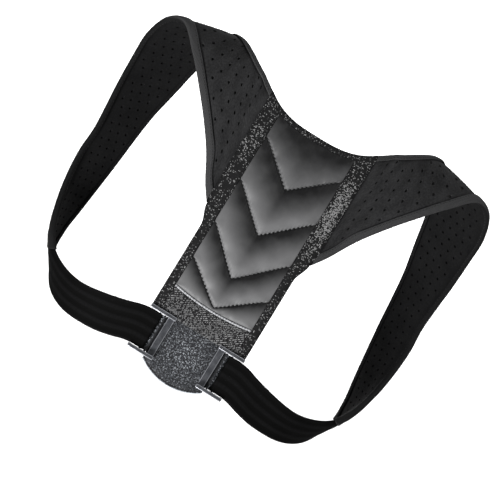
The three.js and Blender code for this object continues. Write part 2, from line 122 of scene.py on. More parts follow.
# Shoulder loop: neck edge and arm edge as shares (x, z, y), and the bow of the middle
LOOP_ROWS = (
    ((0.09, 0.918, -0.61), (0.09, 0.438, -0.79), 0.01),
    ((0.156, 0.941, -0.565), (0.2, 0.545, -0.71), 0.02),
    ((0.219, 0.963, -0.48), (0.331, 0.646, -0.61), 0.03),
    ((0.281, 0.984, -0.365), (0.481, 0.747, -0.48), 0.03),
    ((0.35, 1, -0.176), (0.65, 0.851, -0.29), 0.02),
    ((0.43, 0.993, 0.118), (0.825, 0.938, -0.05), 0.01),
    ((0.469, 0.958, 0.33), (0.938, 0.917, 0.15), 0),
    ((0.506, 0.9, 0.52), (1, 0.83, 0.34), 0.01),
    ((0.55, 0.8, 0.7), (1, 0.712, 0.49), 0.02),
    ((0.594, 0.677, 0.85), (0.988, 0.597, 0.55), 0.03),
    ((0.638, 0.556, 0.94), (0.969, 0.486, 0.576), 0.03),
    ((0.663, 0.438, 0.99), (0.956, 0.389, 0.576), 0.03),
    ((0.681, 0.326, 1), (0.963, 0.292, 0.54), 0.04),
    ((0.706, 0.198, 0.965), (0.944, 0.18, 0.447), 0.06),
    ((0.731, 0.076, 0.88), (0.9, 0.07, 0.28), 0.1),
    ((0.75, -0.017, 0.74), (0.831, -0.031, 0.094), 0.14),
    ((0.744, -0.1, 0.54), (0.738, -0.1, -0.08), 0.17),
    ((0.706, -0.18, 0.28), (0.656, -0.132, -0.28), 0.13),
    ((0.638, -0.25, 0.02), (0.569, -0.149, -0.447), 0.07),
    ((0.544, -0.29, -0.26), (0.475, -0.156, -0.635), 0.03),
    ((0.419, -0.307, -0.53), (0.363, -0.153, -0.776), 0.01),
    ((0.231, -0.303, -0.78), (0.219, -0.141, -0.894), 0),
)
PAD_END_ROW = 17

# The strap at the buckle: out, drop, turn of the neck edge, turn of the arm edge
BUCKLE_ROWS = (
    (0.81, 0.13, 0.15, 0.06),
    (0.51, 0.04, 0.04, 0.015),
    (0.25, 0, 0, 0),
    (0, 0, 0, 0),
    (-0.25, 0, 0, 0),
)


# Surfaces

def smoothstep(value):
    share = np.clip(value, 0.0, 1.0)
    return share * share * (3 - 2 * share)


def unit(vectors):
    return vectors / np.linalg.norm(vectors, axis=-1, keepdims=True)


def neck_edge(x):
    return PANEL_HEIGHT + NECK_RISE * (np.abs(x) / UPPER_HALF) ** 3


def hem_height(x):
    return HEM_RISE * (x / LEATHER_HALF) ** 2


def panel_half_width(z):
    share = smoothstep((z - CORNER_BOTTOM) / (CORNER_TOP - CORNER_BOTTOM))
    return LOWER_HALF + (UPPER_HALF - LOWER_HALF) * share


def panel_depth(x, z):
    lean = NECK_LEAN * (np.maximum(z, 0) / PANEL_HEIGHT) ** 1.6
    side = np.maximum(np.abs(x) - FLAT_HALF, 0) / (UPPER_HALF - FLAT_HALF)
    return -BACK_DEPTH + lean + SIDE_BEND * side * side


def on_panel(x, z, level):
    """Points at a level above the panel's inner face."""
    x, z, level = np.broadcast_arrays(*(np.asarray(v, float) for v in (x, z, level)))
    step = 0.5
    slope_x = (panel_depth(x + step, z) - panel_depth(x - step, z)) / (2 * step)
    slope_z = (panel_depth(x, z + step) - panel_depth(x, z - step)) / (2 * step)
    normal = unit(np.stack([slope_x, -np.ones_like(x), slope_z], -1))
    return np.stack([x, panel_depth(x, z), z], -1) + normal * level[..., None]


def flat_depth(x, z, level):
    """Points at a level behind the flat lower part."""
    x, z, level = np.broadcast_arrays(*(np.asarray(v, float) for v in (x, z, level)))
    return np.stack([x, -BACK_DEPTH - level, z], -1)


def through_points(points, t):
    """A centripetal curve through points, at shares t of its run."""
    points = np.asarray(points, float)
    ends = [2 * points[0] - points[1], *points, 2 * points[-1] - points[-2]]
    padded_points = np.array(ends)
    last = len(points) - 2
    place = np.clip(np.asarray(t, float), 0, 1) * (len(points) - 1)
    first = np.minimum(place.astype(int), last)
    w = (place - first)[:, None]
    p0, p1, p2, p3 = (padded_points[first + k] for k in range(4))
    d0, d1, d2 = (np.linalg.norm(b - a, axis=1)[:, None] ** 0.5
                  for a, b in ((p0, p1), (p1, p2), (p2, p3)))
    m1 = ((p1 - p0) / d0 - (p2 - p0) / (d0 + d1) + (p2 - p1) / d1) * d1
    m2 = ((p2 - p1) / d1 - (p3 - p1) / (d1 + d2) + (p3 - p2) / d2) * d1
    c2 = -3 * p1 + 3 * p2 - 2 * m1 - m2
    c3 = 2 * p1 - 2 * p2 + m1 + m2
    return p1 + w * (m1 + w * (c2 + w * c3))


def through_numbers(values, t):
    """A uniform curve through numbers, at shares t of its run."""
    values = np.asarray(values, float)
    last = len(values) - 1
    place = np.clip(np.asarray(t, float), 0, 1) * last
    first = np.minimum(place.astype(int), last - 1)
    w = place - first
    v0, v1, v2, v3 = (values[np.clip(first + k, 0, last)] for k in (-1, 0, 1, 2))
    m1, m2 = (v2 - v0) / 2, (v3 - v1) / 2
    curve = (2 * v1 - 2 * v2 + m1 + m2) * w**3 + (-3 * v1 + 3 * v2 - 2 * m1 - m2) * w**2
    return curve + m1 * w + v1


class StrapSurface:
    """The strap between its two edge curves, placed by length and offset."""

    samples = 4000
    slope = 0.002

    def __init__(self, rows):
        t = np.linspace(0, 1, self.samples + 1)
        self.neck = through_points([row[0] for row in rows], t)
        self.arm = through_points([row[1] for row in rows], t)
        self.bow = through_numbers([row[2] for row in rows], t)
        self.last_row = len(rows) - 1
        self.middle = self.point(t, np.full_like(t, 0.5))
        steps = np.linalg.norm(np.diff(self.middle, axis=0), axis=1)
        self.lengths = np.concatenate([[0], np.cumsum(steps)])
        across = unit(self.arm - self.neck)
        self.lean = {}
        for side, edge in ((-1, self.neck), (1, self.arm)):
            cosine = (unit(np.gradient(edge, axis=0)) * across).sum(axis=1)
            self.lean[side] = 1 / np.sqrt(np.maximum(1 - cosine**2, 0.2))

    def read(self, table, t):
        place = np.clip(t, 0, 1) * self.samples
        first = np.minimum(place.astype(int), self.samples - 1)
        w = (place - first)[:, None]
        return table[first] * (1 - w) + table[first + 1] * w

    def point(self, t, v):
        neck, arm = self.read(self.neck, t), self.read(self.arm, t)
        v = v[:, None]

        def at(s):
            return self.read(self.neck, s) * (1 - v) + self.read(self.arm, s) * v

        along = at(t + self.slope) - at(t - self.slope)
        across = arm - neck
        width = np.linalg.norm(across, axis=1, keepdims=True)
        bow = self.read(self.bow[:, None], t)
        rise = bow * width * 4 * v * (1 - v)
        return neck * (1 - v) + arm * v + unit(np.cross(across, along)) * rise

    def width(self, length):
        t = self.share(length)
        across = self.read(self.arm, t) - self.read(self.neck, t)
        return np.linalg.norm(across, axis=1)

    def inset(self, length, inward, side):
        """The offset of a place at a square distance in from one of the edges."""
        t = self.share(length)
        lean = np.interp(t, np.linspace(0, 1, self.samples + 1), self.lean[side])
        return side * (self.width(length) / 2 - inward * lean)

    def share(self, length):
        return np.interp(length, self.lengths, np.linspace(0, 1, self.samples + 1))

    def length_at(self, row):
        place = row / self.last_row
        return float(np.interp(place, np.linspace(0, 1, self.samples + 1), self.lengths))

    def place(self, length, offset, level):
        """Points by length along the middle, offset towards the arm and level."""
        length, offset, level = (
            np.asarray(v, float).ravel() for v in np.broadcast_arrays(length, offset, level)
        )
        t = self.share(length)
        v = 0.5 + offset / self.width(length)
        s = self.slope
        along = self.point(np.minimum(t + s, 1), v) - self.point(np.maximum(t - s, 0), v)
        across = self.point(t, v + s) - self.point(t, v - s)
        normal = unit(np.cross(across, along))
        return self.point(t, v) + normal * level[:, None]


def loop_surface():
    seam_x = UPPER_HALF + 0.5

    def seam_point(z):
        return (seam_x, float(panel_depth(seam_x, z)), z)

    def placed(shares):
        x, z, y = shares
        reach = UPPER_HALF + (HALF_SPAN - UPPER_HALF) * x
        return (reach, y * CHEST_DEPTH, z * CREST_HEIGHT)

    def at_buckle(out, side, drop, turn):
        return (
            STRAP_BAR_X + out * ELASTIC_WIDTH,
            -BACK_DEPTH - STRAP_SEAT + turn * ELASTIC_WIDTH,
            OPENING_MIDDLE + (side / 2 - drop) * ELASTIC_WIDTH,
        )

    rows = [(seam_point(float(neck_edge(seam_x))), seam_point(CORNER_TOP), 0)]
    rows += [(placed(neck), placed(arm), bow) for neck, arm, bow in LOOP_ROWS]
    for out, drop, neck_turn, arm_turn in BUCKLE_ROWS:
        neck = at_buckle(out, -1, drop, neck_turn)
        rows.append((neck, at_buckle(out, 1, drop, arm_turn), 0))
    return StrapSurface(rows)


LOOP = loop_surface()
PAD_LENGTH = LOOP.length_at(PAD_END_ROW)
BAR_LENGTH = LOOP.length_at(LOOP.last_row - 1)


# Mesh helpers

def flat_sheet(across, along, low, high, level):
    """An open sheet of cells between two corners."""
    bm = bmesh.new()
    bmesh.ops.create_grid(bm, x_segments=across, y_segments=along, size=0.5)
    bmesh.ops.translate(bm, verts=bm.verts, vec=(0.5, 0.5, 0))
    bmesh.ops.scale(bm, verts=bm.verts, vec=(high[0] - low[0], high[1] - low[1], 1))
    bmesh.ops.translate(bm, verts=bm.verts, vec=(low[0], low[1], level))
    return bm


def thicken(bm, height):
    """Makes a flat sheet a closed slab, keeping the sheet as its bottom."""
    made = bmesh.ops.extrude_face_region(bm, geom=bm.faces[:], use_keep_orig=True)
    bmesh.ops.translate(bm, verts=of_kind(made["geom"], bmesh.types.BMVert),
                        vec=(0, 0, height))
    bmesh.ops.recalc_face_normals(bm, faces=bm.faces[:])


def flat_slab(across, along):
    """A closed slab, one unit wide, long and thick."""
    bm = flat_sheet(across, along, (0, 0), (1, 1), 0)
    thicken(bm, 1)
    return bm


def of_kind(geom, kind):
    return [part for part in geom if isinstance(part, kind)]


def mesh_of(bm, name):
    mesh = bpy.data.meshes.new(name)
    bm.to_mesh(mesh)
    bm.free()
    return mesh


def points_of(mesh):
    flat = np.empty(len(mesh.vertices) * 3, np.float32)
    mesh.vertices.foreach_get("co", flat)
    return flat.reshape(-1, 3).astype(float)


def set_points(mesh, points):
    mesh.vertices.foreach_set("co", np.asarray(points, np.float32).ravel())
    mesh.update()


def paint(mesh, name, values):
    """Stores a number for each vertex, for the material to read."""
    layer = mesh.attributes.new(name, "FLOAT", "POINT")
    layer.data.foreach_set("value", np.asarray(values, np.float32))


def cloth_map(mesh, spread):
    """Stores the flat cloth's own place of each corner, in metres, as a UV map."""
    layer = mesh.uv_layers.new(name="cloth")
    corners = np.empty(len(mesh.loops), np.int32)
    mesh.loops.foreach_get("vertex_index", corners)
    layer.data.foreach_set("uv", (np.asarray(spread, float)[corners] * MM).ravel())


def rounded(mesh, levels):
    """The mesh after its Subdivision Surface modifier."""
    holder = bpy.data.objects.new("rounding", mesh)
    bpy.context.scene.collection.objects.link(holder)
    modifier = holder.modifiers.new("Rounding", "SUBSURF")
    modifier.levels = modifier.render_levels = levels
    graph = bpy.context.evaluated_depsgraph_get()
    made = bpy.data.meshes.new_from_object(holder.evaluated_get(graph))
    bpy.data.objects.remove(holder)
    return made


def row_frame(points):
    """Millimetres from the hem to metres from the shoulder seat."""
    moved = np.asarray(points, float) - (0, 0, SEAT_HEIGHT)
    return moved * MM


def volume(mesh):
    mesh.calc_loop_triangles()
    corners = np.empty(len(mesh.loop_triangles) * 3, np.int32)
    mesh.loop_triangles.foreach_get("vertices", corners)
    a, b, c = points_of(mesh)[corners.reshape(-1, 3)].transpose(1, 0, 2)
    return float((a * np.cross(b, c)).sum() / 6)


def add_piece(mesh, name, material, nodes=(), sharp=False):
    """Puts a finished mesh in the scene, riding on the part's one body. A sharp piece
    keeps its hard edges."""
    if volume(mesh) < 0:
        mesh.flip_normals()
    mesh.name = name
    mesh.polygons.foreach_set("use_smooth", np.full(len(mesh.polygons), True))
    if sharp:
        mesh.set_sharp_from_angle(angle=math.radians(40))
    mesh.materials.clear()
    mesh.materials.append(material)
    piece = bpy.data.objects.new(name, mesh)
    bpy.context.scene.collection.objects.link(piece)
    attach(piece, "root")
    if nodes:
        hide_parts(*nodes)
    return piece


def mirrored(mesh):
    twin = mesh.copy()
    set_points(twin, points_of(twin) * (-1, 1, 1))
    twin.flip_normals()
    return twin


def add_pair(mesh, name, material, nodes=(), sharp=False):
    """Adds a right-hand piece and its mirrored twin. Nodes are named without side."""
    pieces = []
    for side, made in zip(SIDES, (mesh, mirrored(mesh))):
        held = [f"{node}_{side}" for node in nodes]
        pieces.append(add_piece(made, f"{name}_{side}", material, held, sharp))
    return pieces


def stitch_row(bm, path, normals, pitch, length, thick):
    """Lays short threads along a path of points, one at each pitch."""
    steps = np.linalg.norm(np.diff(path, axis=0), axis=1)
    run = np.concatenate([[0], np.cumsum(steps)])
    for i in range(int(run[-1] / pitch)):
        centre = (i + 0.5) * pitch
        at = [np.interp(centre, run, path[:, k]) for k in range(3)]
        ends = [[np.interp(centre + d, run, path[:, k]) for k in range(3)]
                for d in (-length / 2, length / 2)]
        up = Vector([np.interp(centre, run, normals[:, k]) for k in range(3)])
        along = (Vector(ends[1]) - Vector(ends[0])).normalized()
        side = up.cross(along).normalized()
        up = along.cross(side)
        turn = Matrix((along, side, up)).transposed().to_4x4()
        scale = Matrix.Diagonal((length / 2, thick / 2, thick / 2, 1))
        matrix = Matrix.Translation(Vector(at)) @ turn @ scale
        bmesh.ops.create_uvsphere(bm, u_segments=6, v_segments=5, radius=1, matrix=matrix)


def ripple(points, seed, wave):
    """Smooth uneven values from a few crossing waves, mostly from -1 to 1."""
    rng = np.random.default_rng(seed)
    total = np.zeros(len(points))
    for _ in range(7):
        direction = rng.normal(size=points.shape[1])
        length = wave * rng.uniform(0.7, 1.6) * np.linalg.norm(direction)
        direction *= 2 * math.pi / length
        total += np.sin(points @ direction + rng.uniform(0, 2 * math.pi))
    return total / 4


# Materials

def linear(colour):
    """A colour given as an sRGB hex text, in linear light."""
    channels = [int(colour[i:i + 2], 16) / 255 for i in (1, 3, 5)]
    bent = [c / 12.92 if c <= 0.04045 else ((c + 0.055) / 1.055) ** 2.4 for c in channels]
    return (*bent, 1.0)


def node(tree, kind, inputs=None, **settings):
    """Adds a node, sets it, and links or fills its inputs."""
    made = tree.nodes.new(kind)
    for name, value in settings.items():
        setattr(made, name, value)
    for name, value in (inputs or {}).items():
        socket = made.inputs[name]
        if isinstance(value, bpy.types.NodeSocket):
            tree.links.new(value, socket)
        else:
            socket.default_value = value
    return made


def start_material(name, colour, roughness, **sockets):
    """A new material, its node tree and its shader with the given sockets set."""
    material = bpy.data.materials.new(name)
    material.use_nodes = True
    tree = material.node_tree
    shader = tree.nodes["Principled BSDF"]
    shader.inputs["Base Color"].default_value = linear(colour)
    shader.inputs["Roughness"].default_value = roughness
    for socket, value in sockets.items():
        shader.inputs[socket.replace("_", " ")].default_value = value
    material.diffuse_color = linear(colour)
    return material, tree, shader


def scaled(tree, place, factors):
    return node(tree, "ShaderNodeVectorMath", {0: place, 1: factors},
                operation="MULTIPLY").outputs[0]


def painted(tree, name):
    """A number painted on the vertices."""
    return node(tree, "ShaderNodeAttribute", attribute_name=name).outputs["Fac"]


def cloth_place(tree):
    """The cloth map's place in millimetres."""
    uv = node(tree, "ShaderNodeUVMap", uv_map="cloth")
    return scaled(tree, uv.outputs[0], (1 / MM,) * 3)


def object_place(tree):
    """The place on the object in millimetres."""
    place = node(tree, "ShaderNodeTexCoord")
    return scaled(tree, place.outputs["Object"], (1 / MM,) * 3)


def maths(tree, operation, *values):
    made = node(tree, "ShaderNodeMath", dict(enumerate(values)), operation=operation)
    return made.outputs[0]


def wave(tree, value, pitch, shift=0.0):
    """A sine of a coordinate in millimetres, from 0 to 1, once every pitch."""
    turned = maths(tree, "MULTIPLY_ADD", value, 2 * math.pi / pitch, shift)
    return maths(tree, "MULTIPLY_ADD", maths(tree, "SINE", turned), 0.5, 0.5)


def noise(tree, place, size, detail=2.0, roughness=0.5):
    """Noise with features of a size in millimetres."""
    return node(tree, "ShaderNodeTexNoise",
                {"Vector": place, "Scale": 1 / size,
                 "Detail": detail, "Roughness": roughness})


def mixed(tree, factor, first, second):
    made = node(tree, "ShaderNodeMix", data_type="RGBA")
    for index, value in ((0, factor), (6, first), (7, second)):
        socket = made.inputs[index]
        if isinstance(value, bpy.types.NodeSocket):
            tree.links.new(value, socket)
        else:
            socket.default_value = value
    return made.outputs[2]


def bumped(tree, shader, height, distance, strength=1.0):
    """Sends a height from 0 to 1 to the shader as relief of a depth in millimetres."""
    bump = node(tree, "ShaderNodeBump",
                {"Height": height, "Distance": distance * MM, "Strength": strength})
    tree.links.new(bump.outputs[0], shader.inputs["Normal"])


def ramp(tree, value, low, high, to_low=0.0, to_high=1.0):
    """A value stretched between two limits and kept inside them."""
    made = node(tree, "ShaderNodeMapRange",
                {0: value, 1: low, 2: high, 3: to_low, 4: to_high})
    return made.outputs[0]


def coated_leather(colour):
    """Calendered PU on knit: smooth and satin, with a fine pore that only breaks the
    gloss, and painted shade and light over the quilting: dark below each seam, light above
    the next."""
    material, tree, shader = start_material(
        "coated_leather", "#5a5a5b", 0.5, Specular_IOR_Level=0.42, Coat_Weight=0.05,
        Coat_Roughness=0.5)
    place = object_place(tree)
    pores = node(tree, "ShaderNodeTexVoronoi", {"Vector": place, "Scale": 1 / 0.9})
    clouds = noise(tree, place, 16, 3)
    # Painted shade and light: the crown value is low just below each seam, high just above
    # the seam below, and lower over the upper fields; the clouds add uneven tone.
    clouds_and_painted_light = maths(tree, "MULTIPLY_ADD", clouds.outputs[0], 0.35, painted(tree, "crown"))
    tone = mixed(tree, ramp(tree, clouds_and_painted_light, 0.22, 1.12), linear("#171718"), linear(colour))
    tree.links.new(tone, shader.inputs["Base Color"])
    fine = noise(tree, place, 0.5, 2)
    height = maths(tree, "MULTIPLY_ADD", pores.outputs["Distance"], 0.7, fine.outputs[0])
    rough = ramp(tree, fine.outputs[0], 0.3, 0.7, 0.48, 0.6)
    tree.links.new(rough, shader.inputs["Roughness"])
    bumped(tree, shader, height, 0.05, 0.6)
    return material


def grained_leather(colour):
    """Embossed PU: raised pebbles about a millimetre wide, their tops lighter with wear.
    The painted value also carries painted shade, towards near black, and a painted
    highlight, towards pale.
    """
    material, tree, shader = start_material(
        "grained_leather", colour, 0.5, Specular_IOR_Level=0.5)
    place = object_place(tree)
    warp = noise(tree, place, 3, 2)
    shifted = node(tree, "ShaderNodeVectorMath",
                   {0: warp.outputs["Color"], 1: (0.8, 0.8, 0.8), 2: place},
                   operation="MULTIPLY_ADD").outputs[0]
    pebbles = node(tree, "ShaderNodeTexVoronoi", {"Vector": shifted, "Scale": 1 / 1.6},
                   feature="SMOOTH_F1")
    top = ramp(tree, pebbles.outputs["Distance"], 0.1, 0.6, 1.0, 0.0)
    specks = node(tree, "ShaderNodeTexVoronoi", {"Vector": place, "Scale": 1 / 1.2})
    spark = ramp(tree, specks.outputs["Color"], 0.55, 0.7)
    # The painted value: wear from 0.2 to 1, painted shade below 0.2 towards near black, and
    # a painted highlight above 1 towards pale.
    wear_and_painted_light = painted(tree, "wear_and_painted_light")
    lit = maths(tree, "MULTIPLY", maths(tree, "MULTIPLY", spark, top), wear_and_painted_light)
    ground = maths(tree, "MULTIPLY", top, ramp(tree, wear_and_painted_light, 0, 0.2))
    base = mixed(tree, ground, linear("#141518"), linear(colour))
    lightness = maths(tree, "MAXIMUM", lit, ramp(tree, wear_and_painted_light, 1.0, 1.3))
    tone = mixed(tree, lightness, base, linear("#d3d8df"))
    tree.links.new(tone, shader.inputs["Base Color"])
    bumped(tree, shader, top, 0.28, 0.9)
    return material


def perforated_face(name, colour, dark):
    """Brushed knit laminated on foam: matt, with a fine fibre that catches side light."""
    material, tree, shader = start_material(
        name, colour, 0.85, Specular_IOR_Level=0.2, Sheen_Weight=0.05,
        Sheen_Roughness=0.5)
    place = cloth_place(tree)
    split = node(tree, "ShaderNodeSeparateXYZ", {0: place})
    wales = wave(tree, split.outputs[0], 0.9)
    courses = wave(tree, split.outputs[1], 0.8)
    knit = maths(tree, "MULTIPLY", wales, courses)
    fuzz = noise(tree, place, 2.4, 4, 0.7)
    clouds = noise(tree, place, 22, 2)
    shade = maths(tree, "MULTIPLY_ADD", fuzz.outputs[0], 1.6, clouds.outputs[0])
    tone = mixed(tree, ramp(tree, shade, 1.0, 1.6), linear(dark), linear(colour))
    tree.links.new(tone, shader.inputs["Base Color"])
    height = maths(tree, "MULTIPLY_ADD", knit, 0.5, fuzz.outputs[0])
    bumped(tree, shader, height, 0.22, 0.7)
    return material


def woven_tape(name, colour, dark, light, share, pitch, slant=0.0, ribs=0.0):
    """Grosgrain woven from dark and a few light yarns: each crossing of yarns is a small
    bead. Noise patches and a painted value raise the share of light yarns in places, as
    painted glints. The pitch is the yarn spacing in millimetres, drawn a little coarse so
    that it shows."""
    material, tree, shader = start_material(
        name, colour, 0.7, Specular_IOR_Level=0.3)
    place = cloth_place(tree)
    split = node(tree, "ShaderNodeSeparateXYZ", {0: place})
    across = maths(tree, "MULTIPLY_ADD", split.outputs[1], slant, split.outputs[0])
    columns = wave(tree, across, pitch)
    rows = wave(tree, split.outputs[1], pitch * 0.8)
    beads = maths(tree, "POWER", maths(tree, "MULTIPLY", columns, rows), 0.6)
    cell_x = maths(tree, "FLOOR", maths(tree, "DIVIDE", across, pitch))
    cell_y = maths(tree, "FLOOR", maths(tree, "DIVIDE", split.outputs[1], pitch * 0.8))
    cells = node(tree, "ShaderNodeCombineXYZ", {0: cell_x, 1: cell_y})
    chance = node(tree, "ShaderNodeTexWhiteNoise", {"Vector": cells.outputs[0]})
    # Painted glints: noise patches and the painted glint value add light yarns where light
    # would catch the weave.
    patches = noise(tree, place, 9, 2)
    likely = maths(tree, "MULTIPLY_ADD", patches.outputs[0], 0.5, painted(tree, "painted_glints"))
    luck = maths(tree, "ADD", likely, chance.outputs["Value"])
    chosen = ramp(tree, luck, 1.2 - share, 1.35 - share)
    lit = maths(tree, "MULTIPLY", chosen, beads)
    if ribs:
        lit = maths(tree, "MULTIPLY", lit, wave(tree, across, ribs))
    base = mixed(tree, beads, linear(dark), linear(colour))
    tone = mixed(tree, lit, base, linear(light))
    tree.links.new(tone, shader.inputs["Base Color"])
    bumped(tree, shader, beads, 0.3, 0.8)
    return material


def binding_tape(colour, dark):
    """Knitted polyester binding: fine cross ribs, softly matt, with painted shade where it
    turns under to the wearer's side and down the front."""
    material, tree, shader = start_material(
        "binding_tape", colour, 0.75, Specular_IOR_Level=0.25)
    place = cloth_place(tree)
    split = node(tree, "ShaderNodeSeparateXYZ", {0: place})
    ribs = wave(tree, split.outputs[1], 1.1)
    fuzz = noise(tree, place, 0.8, 3, 0.6)
    height = maths(tree, "MULTIPLY_ADD", fuzz.outputs[0], 0.6, ribs)
    face = mixed(tree, ramp(tree, height, 0.3, 1.3), linear(dark), linear(colour))
    # Painted shade: the tape goes towards near black where the painted value is high.
    tone = mixed(tree, painted(tree, "under"), face, linear("#0e0e0f"))
    tree.links.new(tone, shader.inputs["Base Color"])
    bumped(tree, shader, height, 0.2, 0.7)
    return material


def knitted_elastic(colour, band):
    """Braided elastic: near-black yarn over rubber, ribbed across, with lengthwise bands
    where the yarn is packed tighter."""
    material, tree, shader = start_material(
        "knitted_elastic", colour, 0.75, Specular_IOR_Level=0.1)
    place = cloth_place(tree)
    split = node(tree, "ShaderNodeSeparateXYZ", {0: place})
    ribs = wave(tree, split.outputs[1], 1.3)
    strands = wave(tree, split.outputs[0], 1.15)
    bands = wave(tree, split.outputs[0], ELASTIC_WIDTH / 4, math.pi / 2)
    cords = maths(tree, "MULTIPLY", ribs, maths(tree, "MULTIPLY_ADD", strands, 0.5, 0.5))
    fuzz = noise(tree, place, 2.5, 3)
    shade = maths(tree, "MULTIPLY", ramp(tree, bands, 0.35, 0.9), fuzz.outputs[0])
    tone = mixed(tree, ramp(tree, shade, 0.0, 0.75), linear(colour), linear(band))
    tree.links.new(tone, shader.inputs["Base Color"])
    bumped(tree, shader, cords, 0.25, 0.7)
    return material


def piping_vinyl(colour):
    """Glossy vinyl piping over a cord: pale, with a faint dark nick at every stitch."""
    material, tree, shader = start_material("piping_vinyl", colour, 0.35,
                                            Specular_IOR_Level=0.5)
    place = cloth_place(tree)
    split = node(tree, "ShaderNodeSeparateXYZ", {0: place})
    nicks = wave(tree, split.outputs[1], 3.4)
    stains = noise(tree, place, 4, 2)
    lightness = maths(tree, "MULTIPLY_ADD", nicks, 0.3, stains.outputs[0])
    tone = mixed(tree, ramp(tree, lightness, 0.35, 0.7), linear("#55565a"), linear(colour))
    tree.links.new(tone, shader.inputs["Base Color"])
    bumped(tree, shader, nicks, 0.12, 0.5)
    return material


def plated_zinc(colour):
    """Die-cast zinc with a dark nickel plate, tumbled smooth: edges painted bright as
    highlights, faint drawn lines, and a slightly cloudy gloss."""
    material, tree, shader = start_material("plated_zinc", colour, 0.4, Metallic=0.7)
    place = object_place(tree)
    drawn = noise(tree, scaled(tree, place, (3.0, 3.0, 0.12)), 1.0, 3)
    clouds = noise(tree, place, 6, 2)
    # Painted highlight: light where the painted value is 1, on edges and sides; darker on
    # the sunk front panels and on the round bars, which get none.
    bright = maths(tree, "MULTIPLY_ADD", clouds.outputs[0], 0.5, painted(tree, "painted_highlight"))
    tone = mixed(tree, ramp(tree, bright, 0.15, 1.3), linear("#54565b"), linear(colour))
    tree.links.new(tone, shader.inputs["Base Color"])
    tree.links.new(ramp(tree, drawn.outputs[0], 0.3, 0.7, 0.32, 0.48),
                   shader.inputs["Roughness"])
    bumped(tree, shader, drawn.outputs[0], 0.03, 0.5)
    return material


def sewing_thread(colour):
    """Bonded polyester thread: two plies, a little glossy."""
    material, tree, shader = start_material("black_thread", colour, 0.5,
                                            Specular_IOR_Level=0.4)
    place = object_place(tree)
    plies = noise(tree, place, 0.6, 1)
    tone = mixed(tree, plies.outputs[0], linear("#050506"), linear(colour))
    tree.links.new(tone, shader.inputs["Base Color"])
    bumped(tree, shader, plies.outputs[0], 0.08, 0.5)
    return material


def paper_backdrop(colour):
    """Matt studio paper, very faintly uneven."""
    material, tree, shader = start_material("paper_backdrop", colour, 0.9)
    place = object_place(tree)
    tone = mixed(tree, noise(tree, place, 300, 1).outputs[0], linear("#fbfbfb"),
                 linear(colour))
    tree.links.new(tone, shader.inputs["Base Color"])
    return material


MATERIALS = {}


def material(name):
    """Makes each of the brace's materials once, from the colours that the user sets."""
    if name not in MATERIALS:
        finish = bpy.context.scene.brace_finish
        made = {
            "leather": lambda: coated_leather(finish.leather),
            "grain": lambda: grained_leather(finish.tab),
            "pad": lambda: perforated_face("perforated_knit", finish.pad, "#212122"),
            "lining": lambda: perforated_face("perforated_lining", finish.lining,
                                              "#070708"),
            "tape": lambda: woven_tape("speckled_grosgrain", finish.tape, "#0b0b0c",
                                       "#fafafa", 0.09, 1.2),
            "band": lambda: woven_tape("slanted_grosgrain", "#2c2c2d", "#08080a",
                                       "#f0f0f1", 0.52, 1.3, 0.6, 2.5),
            "binding": lambda: binding_tape(finish.binding, "#1d1d1e"),
            "elastic": lambda: knitted_elastic(finish.elastic, "#141415"),
            "piping": lambda: piping_vinyl(finish.piping),
            "metal": lambda: plated_zinc(finish.metal),
            "thread": lambda: sewing_thread("#0d0d0f"),
            "backdrop": lambda: paper_backdrop("#ffffff"),
        }
        MATERIALS[name] = made[name]()
    return MATERIALS[name]


# Pieces: back panel

QUILT_COLUMNS, QUILT_ROWS = 150, 30
BLOWN_COLUMNS, BLOWN_ROWS = 44, 16
BLOWN_FRAMES = 20
BLOWN_DEPTH = 2
FIELDS = len(CHEVRONS) + 1

# How far a chevron rises from the middle to the sides, as a share of the height
SEAM_RISE = 0.19


def seam_heights(x):
    """Heights of the hem, the chevron seams and the neck seam at distances from the
    middle. The points of the chevrons are a little rounded."""
    out = np.sqrt(x * x + 1.5**2) / LEATHER_HALF
    hem = hem_height(x) + PIPING_HEIGHT + 2 * GAP
    top = neck_edge(x) - NECK_BINDING - GAP
    return [hem, *(PANEL_HEIGHT * (middle + rise * out) for middle, rise in CHEVRONS), top]


def field_limits(x, step):
    """Heights of the seams below and above a field."""
    seams = np.stack(seam_heights(x))
    return seams[step, np.arange(len(x))], seams[step + 1, np.arange(len(x))]


def quilt_place(u, w, gather):
    """Where a share across and up falls on the leather, and in which field it lies.
    The gather moves rows towards the seams."""
    x = (2 * u - 1) * LEATHER_HALF
    step = np.minimum(np.floor(w * FIELDS + 1e-6), FIELDS - 1).astype(int)
    share = np.clip(w * FIELDS - step, 0, 1)
    share = (1 - gather) * share + gather * (1 - np.cos(math.pi * share)) / 2
    low, high = field_limits(x, step)
    return x, low + (high - low) * share, share, low, high, step


